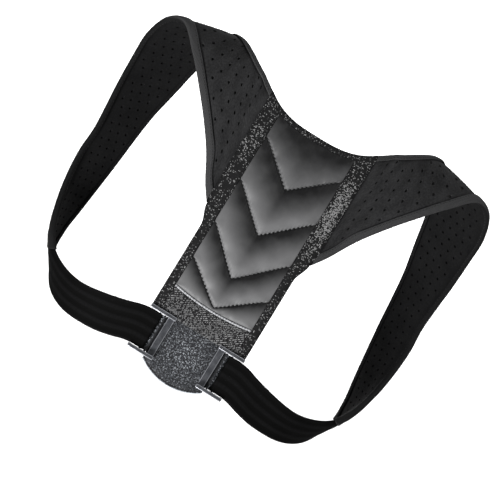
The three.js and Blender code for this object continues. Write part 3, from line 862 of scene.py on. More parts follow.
def blown_heights():
    """Heights over the fields, in millimetres, of the sewn leather blown up by cloth
    pressure. It is simulated flat and ten times as large, held along its seams, its edges
    and its back. Each field has its own rows, and one row of heights follows another."""
    all_rows = FIELDS * BLOWN_ROWS
    mesh = mesh_of(flat_slab(BLOWN_COLUMNS, all_rows), "quilt_pressure")
    u, w, h = points_of(mesh).T
    x, z, share, *_ = quilt_place(u, w, 0)
    large = 10 * MM
    set_points(mesh, np.stack([x, -BLOWN_DEPTH * h, z], 1) * large)
    if volume(mesh) < 0:
        mesh.flip_normals()
    holder = bpy.data.objects.new("quilt_pressure", mesh)
    bpy.context.scene.collection.objects.link(holder)
    held = (np.minimum(share, 1 - share) < 1e-4) | (np.minimum(u, 1 - u) < 1e-4) | (h < 0.5)
    sewn = holder.vertex_groups.new(name="sewn")
    sewn.add([int(i) for i in np.nonzero(held)[0]], 1.0, "REPLACE")
    cloth = holder.modifiers.new("Pressure", "CLOTH")
    cloth.settings.quality = 6
    cloth.settings.tension_stiffness = cloth.settings.compression_stiffness = 15
    cloth.settings.bending_stiffness = 12
    cloth.settings.use_pressure = True
    cloth.settings.uniform_pressure_force = 4
    cloth.settings.shrink_min = -0.012
    cloth.settings.vertex_group_mass = "sewn"
    cloth.settings.effector_weights.gravity = 0
    cloth.collision_settings.use_collision = False
    for moment in range(1, BLOWN_FRAMES + 1):
        bpy.context.scene.frame_set(moment)
    graph = bpy.context.evaluated_depsgraph_get()
    blown = bpy.data.meshes.new_from_object(holder.evaluated_get(graph))
    lift = -points_of(blown)[:, 1] / large - BLOWN_DEPTH
    bpy.data.objects.remove(holder)
    bpy.context.scene.frame_set(1)
    heights = np.zeros((all_rows + 1, BLOWN_COLUMNS + 1))
    front = h > 0.5
    row = np.round(w[front] * all_rows).astype(int)
    heights[row, np.round(u[front] * BLOWN_COLUMNS).astype(int)] = lift[front]
    return np.clip(heights, 0, None)


def cubic_weights(f):
    """Weights of the four nearest values at a fraction between the middle two."""
    return (-f / 2 + f**2 - f**3 / 2, 1 - 2.5 * f**2 + 1.5 * f**3,
            f / 2 + 2 * f**2 - 1.5 * f**3, -(f**2) / 2 + f**3 / 2)


def read_heights(heights, column, row, first, last):
    """Smoothly reads heights at fractions of a column and a row, each within the rows of
    its own field."""
    low_column, low_row = np.floor(column).astype(int), np.floor(row).astype(int)
    total = 0
    for j, by_row in enumerate(cubic_weights(row - low_row)):
        near_row = np.clip(low_row + j - 1, first, last)
        for i, by_column in enumerate(cubic_weights(column - low_column)):
            near_column = np.clip(low_column + i - 1, 0, heights.shape[1] - 1)
            total = total + by_row * by_column * heights[near_row, near_column]
    return total


def softened_puff(x, z, step, away):
    """Shares of the quilting's rise. The blown heights are evened out over a few
    millimetres to both sides, less so near the seams."""
    heights = blown_heights()

    def lift_beside(distance):
        beside = x + distance * smoothstep(away / 7)
        below, above = field_limits(beside, step)
        sunk_share = np.clip((z - below) / (above - below), 0, 1) ** 0.6
        column = np.clip((beside / LEATHER_HALF + 1) / 2, 0, 1) * BLOWN_COLUMNS
        return read_heights(heights, column, (step + sunk_share) * BLOWN_ROWS,
                            step * BLOWN_ROWS, (step + 1) * BLOWN_ROWS)

    lift = sum((3 - abs(k)) / 9 * lift_beside(3.2 * k) for k in range(-2, 3))
    return np.clip(lift, 0, None) / heights.max()


def make_quilting():
    sizes = bpy.context.scene.brace_sizes
    mesh = mesh_of(flat_slab(QUILT_COLUMNS, FIELDS * QUILT_ROWS), "quilted_leather")
    u, w, h = points_of(mesh).T
    x, z, share, low, high, step = quilt_place(u, w, 0.55)
    lean = math.cos(math.atan(SEAM_RISE * PANEL_HEIGHT / LEATHER_HALF))
    away = np.minimum(z - low, high - z) * lean
    puff = softened_puff(x, z, step, away)
    away = np.where((step == 0) & (share < 0.5), away + 3, away)
    away = np.where((step == FIELDS - 1) & (share > 0.5), away + 2, away)
    turn = np.cos(2 * math.pi * np.abs(x) / lean / sizes.stitch_pitch)
    pucker = -0.12 * turn * np.exp(-away / 4) * np.minimum(away, 1)
    hole = (0.25 + 1.3 * np.maximum(turn, 0)) * np.exp(-((away / 1.1) ** 2))
    uneven = 0.25 * ripple(np.stack([x, z], 1), 3, 40) * puff
    level = LEATHER + sizes.quilt_rise * puff + pucker - hole + uneven
    set_points(mesh, row_frame(on_panel(x, z, SKIN + h * level)))
    cloth_map(mesh, np.stack([x, z], 1))
    # Painted shade and light over each field: dark just below the seam above, light just
    # above the seam below, and darker towards the top of the panel.
    lightness = smoothstep((1.02 - share) / 0.95) * (1 - 0.5 * smoothstep((z - 100) / 120))
    paint(mesh, "crown", lightness)
    piece = add_piece(mesh, "quilted_leather", material("leather"),
                      ["quilted_panel"])
    make_quilting_thread(sizes.stitch_pitch)


def make_quilting_thread(pitch):
    bm = bmesh.new()
    x = np.linspace(-LEATHER_HALF + 1, LEATHER_HALF - 1, 160)
    for seam in seam_heights(x)[1:-1]:
        path = row_frame(on_panel(x, seam, SKIN + LEATHER + 0.2))
        normals = on_panel(x, seam, 1) - on_panel(x, seam, 0)
        stitch_row(bm, path, normals, pitch * MM, 3.0 * MM, 2.0 * MM)
    add_piece(mesh_of(bm, "quilting_thread"), "quilting_thread", material("thread"))


def make_piping():
    mesh = mesh_of(flat_slab(14, 90), "hem_piping_cord")
    u, w, h = points_of(mesh).T
    x = (2 * w - 1) * LEATHER_HALF
    round_back = np.sqrt(np.maximum(1 - (2 * u - 1) ** 2, 0))
    z = hem_height(x) + GAP + PIPING_HEIGHT * u
    nick = 0.12 * np.cos(2 * math.pi * x / 3.4)
    level = SKIN + h * (0.5 + (PIPING_RISE - 0.3 + nick) * round_back)
    set_points(mesh, row_frame(on_panel(x, z, level)))
    cloth_map(mesh, np.stack([u * 6, x], 1))
    add_piece(mesh, "hem_piping_cord", material("piping"), ["hem_piping"])


def fold_section(width, lip, count):
    """Section of a tape folded over an edge: distance in from the edge, level, outward
    normal and arc length, from its inner edge over the fold to the lip's edge."""
    radius = (SKIN - LIP_TOP + TAPE) / 2
    centre_in, centre_level = radius + TAPE / 2, (SKIN + LIP_TOP) / 2
    turn = np.linspace(math.pi / 2, math.pi * 3 / 2, 40)
    arc = np.stack([centre_in + radius * np.cos(turn),
                    centre_level + radius * np.sin(turn)], 1)
    top = np.stack([np.linspace(width, centre_in, 40, endpoint=False),
                    np.full(40, arc[0, 1])], 1)
    dome = np.sin(np.linspace(0, math.pi, 40, endpoint=False))
    pressed = np.exp(-np.abs(top[:, 0] - width) / 0.8)
    top[:, 1] += 0.35 * dome - 0.45 * pressed
    under = np.stack([np.linspace(centre_in, lip, 20), np.full(20, arc[-1, 1])], 1)
    line = np.concatenate([top, arc, under[1:]])
    run = np.concatenate([[0], np.cumsum(np.linalg.norm(np.diff(line, axis=0), axis=1))])
    even = np.linspace(0, run[-1], count + 1)
    line = np.stack([np.interp(even, run, line[:, k]) for k in range(2)], 1)
    slope = unit(np.gradient(line, axis=0))
    normal = np.stack([slope[:, 1], -slope[:, 0]], 1)
    return line, normal, even


def folded_tape(name, width, lip, count, steps, place, run_length, dark=lambda run: 0):
    """A tape folded over an edge. Its place is given for distances in from the edge,
    levels and shares of its run, and its painted shade for places along its run."""
    line, normal, even = fold_section(width, lip, count)
    mesh = mesh_of(flat_slab(count, steps), name)
    u, w, h = points_of(mesh).T
    column = np.round(u * count).astype(int)
    at = line[column] + normal[column] * ((h - 0.5) * TAPE)[:, None]
    set_points(mesh, row_frame(place(at[:, 0], at[:, 1], w)))
    cloth_map(mesh, np.stack([even[column], w * run_length], 1))
    # Painted shade on the part of the fold turned under, and along the run as asked.
    under = smoothstep((LINING - 1 - line[column, 1]) / 3)
    paint(mesh, "under", np.maximum(under, dark(w * run_length)))
    return mesh, float(even[-1])


def make_band():
    def place(inward, level, share):
        x = (2 * share - 1) * LEATHER_HALF
        rise = np.where(level > LINING / 2, hem_height(x) * inward / BAND_HEIGHT, 0)
        return on_panel(x, -BAND_HEIGHT + inward + rise, level)

    mesh, wide = folded_tape("woven_band", BAND_HEIGHT, NECK_BINDING, 44, 80, place,
                             2 * LEATHER_HALF)
    piece = add_piece(mesh, "woven_band", material("band"), ["lower_band"])


def make_neck_binding():
    def place(inward, level, share):
        x = (2 * share - 1) * (UPPER_HALF + 0.4)
        return on_panel(x, neck_edge(x) - inward, level)

    length = 2 * UPPER_HALF * 1.02
    mesh, wide = folded_tape("neck_tape", NECK_BINDING, NECK_BINDING, 24, 110, place,
                             length)
    piece = add_piece(mesh, "neck_tape", material("tape"), ["neck_binding"])


def make_side_tapes():
    inner, outer = LEATHER_HALF + 0.2, UPPER_HALF + 1.2
    mesh = mesh_of(flat_slab(22, 90), "side_webbing")
    u, w, h = points_of(mesh).T
    low_corner = 3.5 * (1 - smoothstep(w * 12)) * u
    x = inner + (outer - inner) * u - low_corner
    top = neck_edge(x) - NECK_BINDING + 1.5
    z = CORNER_TOP - 1 + (top - CORNER_TOP + 1) * w
    edge = np.minimum(u, 1 - u) * (outer - inner)
    seam = 0.3 * np.exp(-(((edge - 2) / 0.6) ** 2))
    level = SKIN - 0.25 + h * (TAPE + 0.45 * np.sqrt(np.minimum(edge / 2.5, 1)) - seam)
    set_points(mesh, row_frame(on_panel(x, z, level)))
    cloth_map(mesh, np.stack([x, z], 1))
    pieces = add_pair(mesh, "side_webbing", material("tape"), ["side_tape"])
    # Painted glints: many light yarns round the right webbing's middle, a few higher up on
    # the left one.
    for piece, middle, reach, share in zip(pieces, (168, 195), (42, 30), (0.55, 0.14)):
        bright = share * np.exp(-(((z - middle) / reach) ** 2) - ((u - 0.5) / 0.42) ** 2)
        paint(piece.data, "painted_glints", bright)
    bm = bmesh.new()
    z = np.linspace(CORNER_TOP + 2, PANEL_HEIGHT + 6, 120)
    for x in (inner + 2, outer - 2):
        path = row_frame(on_panel(x, z, SKIN + TAPE + 0.1))
        normals = on_panel(x, z, 1) - on_panel(x, z, 0)
        stitch_row(bm, path, normals, 3.6 * MM, 2.6 * MM, 0.7 * MM)
    add_pair(mesh_of(bm, "webbing_thread"), "webbing_thread", material("thread"))


def make_edge_bindings():
    inner = LEATHER_HALF + 0.2
    low_width = LOWER_HALF - inner
    bottom, top = -BAND_HEIGHT, CORNER_TOP
    fold = (SKIN - LIP_TOP + TAPE) / 2 + TAPE / 2

    def place(inward, level, share):
        z = bottom + (top - bottom) * share
        edge = panel_half_width(z)
        flat = np.maximum(inward - fold, 0) / (low_width - fold)
        spread = np.where(level > LINING / 2, flat * (edge - LOWER_HALF), 0)
        return on_panel(edge - inward - spread, z, level)

    length = top - bottom
    mesh, wide = folded_tape("edge_tape", low_width, low_width - 1, 26, 110, place, length)
    for piece in add_pair(mesh, "edge_tape", material("tape"), ["edge_binding"]):
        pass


# Pieces: perforated pads

def perforated_sheet(low, high, pitch, outside, near_edge, radius, depth, top, levels):
    """A flat sheet of cells with round pits in a staggered pattern. Cells beyond the
    outline go, and none near it has a pit. A positive depth sinks the pits."""
    cells = [max(2, round(2 * (high[k] - low[k]) / pitch[k])) for k in (0, 1)]
    size = [(high[k] - low[k]) / cells[k] for k in (0, 1)]
    bm = flat_sheet(*cells, low, high, top)
    corners = np.array([[v.co.x, v.co.y] for v in bm.verts])
    bm.verts.index_update()
    beyond = outside(corners[:, 0], corners[:, 1])
    gone = [f for f in bm.faces if all(beyond[v.index] for v in f.verts)]
    bmesh.ops.delete(bm, geom=gone, context="FACES")
    faces = list(bm.faces)
    centres = np.array([f.calc_center_median()[:2] for f in faces])
    close = near_edge(centres[:, 0], centres[:, 1])
    chosen = []
    for face, (x, y), edge in zip(faces, centres, close):
        column, row = int((x - low[0]) / size[0]), int((y - low[1]) / size[1])
        if not edge and row % 2 == 0 and (column + row // 2) % 2 == 0:
            chosen.append((face, Vector((x, y, top))))
    only = [face for face, _ in chosen]
    for ring in (radius * 1.35, radius):
        bmesh.ops.inset_individual(bm, faces=only, thickness=size[0] * 0.1)
        for face, centre in chosen:
            for vert in face.verts:
                away = vert.co - centre
                vert.co = centre + Vector((math.copysign(ring, away.x),
                                           math.copysign(ring, away.y), 0))
    made = bmesh.ops.extrude_discrete_faces(bm, faces=only)
    for face in made["faces"]:
        bmesh.ops.translate(bm, verts=face.verts, vec=(0, 0, -depth))
    if depth < 0:
        bmesh.ops.reverse_faces(bm, faces=bm.faces[:])
    return rounded(mesh_of(bm, "sheet"), levels)


def flattened(length):
    """How far the pad is pressed flat at a length, where the elastic is sewn in."""
    return smoothstep((length - PAD_LENGTH + 24) / 18)


def closed_pad(outer, inner):
    """Joins the outer and the inner sheet round their edges."""
    bm = bmesh.new()
    bm.from_mesh(outer)
    bm.from_mesh(inner)
    rim = [e for e in bm.edges if e.is_boundary]
    bmesh.ops.bridge_loops(bm, edges=rim)
    bmesh.ops.recalc_face_normals(bm, faces=bm.faces[:])
    return mesh_of(bm, "pad")


def make_shoulder_pads():
    hole = bpy.context.scene.brace_sizes.hole

    def limits(length, neck_inset, arm_inset):
        length = np.clip(length, 0, PAD_LENGTH)
        return LOOP.inset(length, neck_inset, -1), LOOP.inset(length, arm_inset, 1)

    def outside(x, y):
        least, most = limits(y, TUCK, TUCK)
        return (x < least) | (x > most)

    def near(x, y):
        least, most = limits(y, PAD_BINDING + 3, ARM_BINDING + 3)
        return (x < least) | (x > most) | (y < 6) | (y > PAD_LENGTH - 24)

    reach = float(LOOP.width(np.linspace(0, PAD_LENGTH, 300)).max()) / 2 + 3
    low, high = (-reach, 0), (reach, PAD_LENGTH)
    outer = perforated_sheet(low, high, (12.4, 18.5), outside, near, hole / 2, 2.0,
                             LINING, 2)
    inner = perforated_sheet(low, high, (11.0, 11.0), outside, near, hole * 0.45, -1.6,
                             0.0, 1)
    mesh = closed_pad(outer, inner)
    x, y, level = points_of(mesh).T
    x = np.clip(x, *limits(y, TUCK, TUCK))
    least, most = limits(y, PAD_BINDING, ARM_BINDING)
    bound = np.where(x > 0, most, -least)
    across = np.abs(x) / bound
    crown = 1.1 * (1 - np.clip(across, 0, 1) ** 4)
    groove = 0.9 * np.exp(-(((across - 1) * bound / 1.8) ** 2))
    ends = smoothstep(y / 12) * smoothstep((PAD_LENGTH - y) / 22)
    uneven = 0.3 * ripple(np.stack([x, y], 1), 8, 45)
    pucker = 0.12 * np.cos(2 * math.pi * y / 7.3 + 0.7 * ripple(y[:, None], 5, 30))
    pucker *= np.exp(-np.abs(across - 1) * bound / 4)
    swell = (crown + uneven - groove + pucker) * ends
    faces_out = np.clip((level - LINING / 2) / (LINING / 2), -1, 1)
    level = level + faces_out * (swell - 1.1 * flattened(y))
    cloth_map(mesh, np.stack([x, y], 1))
    set_points(mesh, row_frame(LOOP.place(y, x, level)))
    pieces = add_pair(mesh, "perforated_pad", material("pad"), ["shoulder_pad"])
    for piece in pieces:
        paint_inside(piece.data, faces_out)


def paint_inside(mesh, faces_out):
    """Gives the faces towards the wearer the darker lining knit."""
    mesh.materials.append(material("lining"))
    first = np.empty(len(mesh.polygons), np.int32)
    mesh.polygons.foreach_get("loop_start", first)
    corners = np.empty(len(mesh.loops), np.int32)
    mesh.loops.foreach_get("vertex_index", corners)
    inside = faces_out[corners[first]] < 0
    mesh.polygons.foreach_set("material_index", inside.astype(np.int32))


def make_back_lining():
    hole = bpy.context.scene.brace_sizes.hole

    def sides(z):
        return panel_half_width(z) - np.where(z > CORNER_TOP, 0, TUCK)

    def top(x):
        return neck_edge(x) - TUCK

    def outside(x, z):
        return (np.abs(x) > sides(z)) | (z > top(x))

    def near(x, z):
        return (np.abs(x) > sides(z) - 12) | (z > top(x) - 9) | (z < -BAND_HEIGHT + 12)

    low = (-UPPER_HALF - 3, -BAND_HEIGHT + TUCK)
    high = (UPPER_HALF + 3, PANEL_HEIGHT + NECK_RISE + 2)
    inner = perforated_sheet(low, high, (11.0, 11.0), outside, near, hole * 0.45, -1.2,
                             0.0, 1)
    outer = mesh_of(flat_sheet(40, 70, low, high, LINING), "outer")
    mesh = closed_pad(outer, inner)
    x, z, level = points_of(mesh).T
    z = np.minimum(z, top(np.clip(x, -UPPER_HALF, UPPER_HALF)))
    x = np.clip(x, -sides(z), sides(z))
    edge = np.minimum(sides(z) - np.abs(x), top(x) - z)
    crown = 1.0 * smoothstep((edge - 8) / 14) * smoothstep((z + BAND_HEIGHT - 6) / 14)
    level = level - np.where(level < LINING / 2, crown, 0)
    cloth_map(mesh, np.stack([x, z], 1))
    set_points(mesh, row_frame(on_panel(x, z, level)))
    piece = add_piece(mesh, "padded_lining", material("lining"),
                      ["back_lining"])


def make_pad_bindings():
    middle = LINING / 2
    for name, width, lip, side in (
        ("neck_side", PAD_BINDING, PAD_BINDING, -1),
        ("arm_side", ARM_BINDING, PAD_BINDING, 1),
    ):
        def place(inward, level, share, side=side):
            length = share * PAD_LENGTH
            level = middle + (level - middle) * (1 - 0.25 * flattened(length))
            return LOOP.place(length, LOOP.inset(length, inward, side), level)

        # Painted shade on the bindings down the front.
        mesh, wide = folded_tape(f"{name}_tape", width, lip, 22, 260, place, PAD_LENGTH,
                                 lambda run: 0.9 * smoothstep((run - 170) / 60))
        pieces = add_pair(mesh, f"{name}_tape", material("binding"),
                          [f"{name}_binding"])
        edge = LOOP.neck if side < 0 else LOOP.arm
        ends = int(LOOP.samples * PAD_END_ROW / LOOP.last_row)
        length = float(np.linalg.norm(np.diff(edge[:ends], axis=0), axis=1).sum())
        bm = bmesh.new()
        length = np.linspace(0.01, 0.99, 500) * PAD_LENGTH
        for inward, level, up in ((width - 1.6, SKIN + TAPE + 0.15, 1),
                                  (lip - 1.6, LIP_TOP - TAPE - 0.1, -1)):
            offset = LOOP.inset(length, inward, side)
            level = middle + (level - middle) * (1 - 0.25 * flattened(length))
            path = LOOP.place(length, offset, level)
            normals = LOOP.place(length, offset, level + up) - path
            stitch_row(bm, row_frame(path), normals, 4.0 * MM, 2.7 * MM, 0.65 * MM)
        name += "_thread"
        add_pair(mesh_of(bm, name), name, material("thread"))


# Pieces: elastic straps

def elastic_line():
    """The strap's middle line: length, level and the way its outer face looks."""
    start = PAD_LENGTH - 9
    turn_radius = WRAP_RADIUS + ELASTIC_THICK / 2
    out = np.linspace(start, BAR_LENGTH, 150, endpoint=False)
    turn = np.linspace(0, math.pi, 17)
    back = np.linspace(0, 1, 50)[1:]
    length = np.concatenate([out, BAR_LENGTH + turn_radius * np.sin(turn),
                             BAR_LENGTH - ELASTIC_RETURN * back])
    under = -turn_radius - WRAP_RADIUS * np.maximum(1 - 2 * back, 0)
    level = np.concatenate([np.full(len(out), ELASTIC_THICK / 2),
                            turn_radius * np.cos(turn) - WRAP_RADIUS, under])
    facing = np.concatenate([np.zeros(len(out)), turn, np.full(len(back), math.pi)])
    return length, level, facing


def make_elastic_straps():
    length, level, facing = elastic_line()
    mesh = mesh_of(flat_slab(46, len(length) - 1), "elastic_webbing")
    u, w, h = points_of(mesh).T
    at = np.round(w * (len(length) - 1)).astype(int)
    edge = np.minimum(u, 1 - u) * ELASTIC_WIDTH
    selvedge = np.sqrt(np.clip(edge / 1.4, 0.12, 1))
    bands = 0.12 * np.cos(2 * math.pi * (u - 0.5) * 4) * np.clip(edge / 3, 0, 1)
    out = (h - 0.5) * (ELASTIC_THICK * selvedge + 2 * bands)
    stop = length[at] + out * np.sin(facing[at])
    drift = 0.25 * ripple(stop[:, None], 11, 60)
    offset = (u - 0.5) * ELASTIC_WIDTH + drift * smoothstep((BAR_LENGTH - 30 - stop) / 30)
    points = LOOP.place(stop, offset, level[at] + out * np.cos(facing[at]))
    run = np.concatenate([[0], np.cumsum(np.hypot(np.diff(length), np.diff(level)))])
    set_points(mesh, row_frame(points))
    cloth_map(mesh, np.stack([(u - 0.5) * ELASTIC_WIDTH, run[at]], 1))
    pieces = add_pair(mesh, "elastic_webbing", material("elastic"),
                      ["elastic_strap"])
    bm = bmesh.new()
    across = np.linspace(-ELASTIC_WIDTH / 2 + 1.5, ELASTIC_WIDTH / 2 - 1.5, 60)
    rows = [(PAD_LENGTH - 3, LINING - 0.6, 1), (PAD_LENGTH - 7, LINING - 0.5, 1),
            (PAD_LENGTH - 3, 0.6, -1), (PAD_LENGTH - 7, 0.5, -1)]
    for place, height, up in rows:
        path = LOOP.place(place, across, height)
        normals = LOOP.place(place, across, height + up) - path
        stitch_row(bm, row_frame(path), normals, 3.4 * MM, 2.5 * MM, 0.7 * MM)
    add_pair(mesh_of(bm, "strap_thread"), "strap_thread", material("thread"))


# Pieces: tab and buckles

def tab_plate():
    """The flat tab, its rim bevelled, with a gutter and a ridge along its edge."""
    bm = bmesh.new()
    bmesh.ops.create_circle(bm, cap_ends=True, segments=160, radius=TAB_RADIUS)
    bmesh.ops.translate(bm, verts=bm.verts, vec=(0, -TAB_DROP + TAB_RADIUS, 0))
    top = -BAND_HEIGHT + TAB_TUCK
    for point, normal in (((TAB_HALF, 0, 0), (1, 0, 0)), ((-TAB_HALF, 0, 0), (-1, 0, 0)),
                          ((0, top, 0), (0, 1, 0))):
        bmesh.ops.bisect_plane(bm, geom=bm.verts[:] + bm.edges[:] + bm.faces[:],
                               plane_co=point, plane_no=normal, clear_outer=True)
    thicken(bm, TAB_THICK)
    rim = [e for e in bm.edges if len({round(v.co.z, 4) for v in e.verts}) == 1]
    bmesh.ops.bevel(bm, geom=rim, offset=0.7, offset_type="OFFSET", segments=3,
                    affect="EDGES", profile=0.5, material=-1)
    face = max((f for f in bm.faces if f.normal.z > 0.9), key=lambda f: f.calc_area())
    bmesh.ops.inset_region(bm, faces=[face], thickness=1.3)
    bmesh.ops.inset_region(bm, faces=[face], thickness=0.5, depth=-0.7)
    bmesh.ops.inset_region(bm, faces=[face], thickness=0.6)
    bmesh.ops.inset_region(bm, faces=[face], thickness=0.9, depth=0.4)
    for k in range(1, 16):
        x = -TAB_HALF + 2 * TAB_HALF * k / 16
        z = -TAB_DROP + (TAB_DROP - BAND_HEIGHT + TAB_TUCK) * k / 16
        for point, normal in (((x, 0, 0), (1, 0, 0)), ((0, z, 0), (0, 1, 0))):
            bmesh.ops.bisect_plane(bm, geom=bm.verts[:] + bm.edges[:] + bm.faces[:],
                                   plane_co=point, plane_no=normal)
    return mesh_of(bm, "leather_tab")


def make_tab():
    mesh = tab_plate()
    x, z, level = points_of(mesh).T
    # Wear strongest in the middle, a painted highlight along the rim of the rounded edge,
    # and painted shade in the sunk gutter.
    middle = np.exp(-((x / 24) ** 2) - (((z + 56) / 26) ** 2))
    from_edge = TAB_RADIUS - np.hypot(x, z + TAB_DROP - TAB_RADIUS)
    border = np.where((from_edge < 1.6) & (level > TAB_THICK - 1), 1.3, 0)
    gutter = np.where(level < TAB_THICK - 0.5, 0.25, 1)
    paint(mesh, "wear_and_painted_light", np.maximum(0.25 + 0.75 * middle, border) * gutter)
    set_points(mesh, row_frame(flat_depth(x, z, TAB_TOP - TAB_THICK + level)))
    cloth_map(mesh, np.stack([x, z], 1))
    add_piece(mesh, "leather_tab", material("grain"), ["lower_tab"], sharp=True)
    make_tab_loops()
    make_tab_thread()


def make_tab_loops():
    """The tab's sides, each turned round a buckle's inner round bar."""
    bm = bmesh.new()
    radius, wall = LOOP_BAR_RADIUS + GAP, 2.1
    height = BUCKLE_OPENING - 4 * GAP
    for side in (-1, 1):
        profile = [bm.verts.new((side * LOOP_BAR_X + r, 0, OPENING_MIDDLE + z))
                   for r, z in ((radius, -height / 2), (radius + wall, -height / 2),
                                (radius + wall, height / 2), (radius, height / 2))]
        ring = bm.faces.new(profile)
        centre = (side * LOOP_BAR_X, 0, OPENING_MIDDLE)
        bmesh.ops.spin(bm, geom=[ring, *ring.edges, *ring.verts], cent=centre,
                       axis=(0, 0, 1), angle=2 * math.pi, steps=28, use_merge=True)
    bmesh.ops.remove_doubles(bm, verts=bm.verts, dist=1e-4)
    inner_faces = [f for f in bm.faces if all(len(e.link_faces) > 2 for e in f.edges)]
    bmesh.ops.delete(bm, geom=inner_faces, context="FACES_ONLY")
    bmesh.ops.recalc_face_normals(bm, faces=bm.faces[:])
    mesh = mesh_of(bm, "tab_loops")
    x, y, z = points_of(mesh).T
    # Painted shade: each loop's inner half, towards the flat bar, goes near black; the
    # outer half shows wear.
    paint(mesh, "wear_and_painted_light", 0.9 * smoothstep((np.abs(x) - LOOP_BAR_X + 0.5) / 1.5))
    set_points(mesh, row_frame(np.stack([x, -BACK_DEPTH - LOOP_BAR_LEVEL + y, z], 1)))
    cloth_map(mesh, np.stack([x, z], 1))
    add_piece(mesh, "tab_loops", material("grain"), sharp=True)


def make_tab_thread():
    bm = bmesh.new()
    z = np.linspace(OPENING_TOP - 3, OPENING_TOP - BUCKLE_OPENING + 6, 60)
    for x in (-26.6, 26.6):
        path = row_frame(flat_depth(x, z, TAB_TOP + 0.05))
        normals = np.tile((0.0, -1.0, 0.0), (len(z), 1))
        stitch_row(bm, path, normals, 3.4 * MM, 2.6 * MM, 0.7 * MM)
    turn = np.linspace(-0.52, 0.52, 80)
    inset = TAB_RADIUS - 3.3
    x, z = inset * np.sin(turn), -TAB_DROP + TAB_RADIUS - inset * np.cos(turn)
    path = row_frame(flat_depth(x, z, TAB_TOP + 0.02))
    normals = np.tile((0.0, -1.0, 0.0), (len(z), 1))
    stitch_row(bm, path, normals, 3.2 * MM, 2.3 * MM, 0.55 * MM)
    add_piece(mesh_of(bm, "tab_thread"), "tab_thread", material("thread"))


def block(bm, low, high, bevel, panel_inset=0.0):
    """A block between two corners given as x, level and z, with rounded edges and, if
    asked for, a shallow panel sunk into its front."""
    size = [b - a for a, b in zip(low, high)]
    middle = [(a + b) / 2 for a, b in zip(low, high)]
    matrix = Matrix.Translation((middle[0], -BACK_DEPTH - middle[1], middle[2]))
    matrix = matrix @ Matrix.Diagonal((*size, 1))
    # Painted highlight: 1 over the block, 0 on its sunk front panel, so that its edges show
    # bright.
    painted_highlight = bm.verts.layers.float.get("painted_highlight") or bm.verts.layers.float.new("painted_highlight")
    made = bmesh.ops.create_cube(bm, size=1, matrix=matrix)
    verts = made["verts"]
    for vert in verts:
        vert[painted_highlight] = 1
    edges = list({e for v in verts for e in v.link_edges})
    if panel_inset:
        front = min({f for v in verts for f in v.link_faces},
                    key=lambda f: f.calc_center_median().y)
        bmesh.ops.inset_region(bm, faces=[front], thickness=panel_inset)
        bmesh.ops.inset_region(bm, faces=[front], thickness=0.25, depth=-0.22)
        for vert in front.verts:
            vert[painted_highlight] = 0
    bmesh.ops.bevel(bm, geom=edges, offset=bevel, offset_type="OFFSET", segments=4,
                    affect="EDGES", profile=0.5, material=-1)


def upright(bm, radius, x, level, bottom, top):
    """A round bar standing along z."""
    matrix = Matrix.Translation((x, -BACK_DEPTH - level, (top + bottom) / 2))
    bmesh.ops.create_cone(bm, cap_ends=True, segments=32, radius1=radius, radius2=radius,
                          depth=top - bottom, matrix=matrix)


def make_buckles():
    bm = bmesh.new()
    outer = BUCKLE_INNER + BUCKLE_LENGTH
    for side in (-1, 1):
        edge = OPENING_MIDDLE + side * BUCKLE_OPENING / 2
        web = sorted((edge, edge + side * RAIL_WALL))
        lip = sorted((edge, edge + side * RAIL_WIDTH))
        block(bm, (BUCKLE_INNER, BAR_BACK, web[0]), (outer, RAIL_TOP - 0.4, web[1]), 0.45)
        block(bm, (BUCKLE_INNER, RAIL_TOP - RAIL_LIP, lip[0]), (outer, RAIL_TOP, lip[1]),
              0.8, 1.0)
        lug = LOOP_BAR_RADIUS + GAP / 2
        block(bm, (LOOP_BAR_X - lug, LOOP_BAR_LEVEL - LOOP_BAR_RADIUS, web[0]),
              (LOOP_BAR_X + lug, BAR_BACK + RAIL_WALL, web[1]), 0.3)
    bottom = OPENING_MIDDLE - BUCKLE_OPENING / 2 - RAIL_WALL / 2
    top = OPENING_MIDDLE + BUCKLE_OPENING / 2 + RAIL_WALL / 2
    inner = BUCKLE_INNER + 1
    block(bm, (inner, BAR_BACK, bottom), (inner + FLAT_BAR, BAR_BACK + FLAT_BAR_THICK, top),
          0.7, 0.9)
    upright(bm, LOOP_BAR_RADIUS, LOOP_BAR_X, LOOP_BAR_LEVEL, bottom, top)
    upright(bm, STRAP_BAR_RADIUS, STRAP_BAR_X, STRAP_BAR_LIFT, bottom, top)
    mesh = mesh_of(bm, "strap_buckle")
    set_points(mesh, row_frame(points_of(mesh)))
    cloth_map(mesh, points_of(mesh)[:, [0, 2]] / MM)
    add_pair(mesh, "strap_buckle", material("metal"), ["buckle"], sharp=True)


# Stage

# Camera and room, in metres
AIM = Vector((0.0012, -BACK_DEPTH * MM, -0.1953))
VIEW_WIDTH = 0.575
VIEW_DISTANCE = 12.0
SENSOR = 36.0
FLOOR, WALL, WALL_TOP, REACH, SWEEP = -9.5, 13.5, 1.8, 14.0, 1.2

# Lights: name, place, aim, width in metres, power in watts
CENTRE = (0.0, -0.05, -0.18)
LIGHTS = (
    ("key", (-0.6, -1.4, -1.75), CENTRE, 0.7, 46),
    ("fill", (1.7, -2.0, 0.9), CENTRE, 1.2, 15),
    ("top", (0.2, 0.1, 1.7), CENTRE, 1.2, 8),
    ("front", (-0.9, 2.3, 0.7), CENTRE, 1.4, 20),
    ("wall_wash", (0.0, 11.6, 1.9), (0.0, 13.5, 0.0), 2.0, 190),
    ("floor_wash", (0.0, 0.0, -1.9), (0.0, 0.01, FLOOR), 1.0, 300),
)
SKY = 0.17


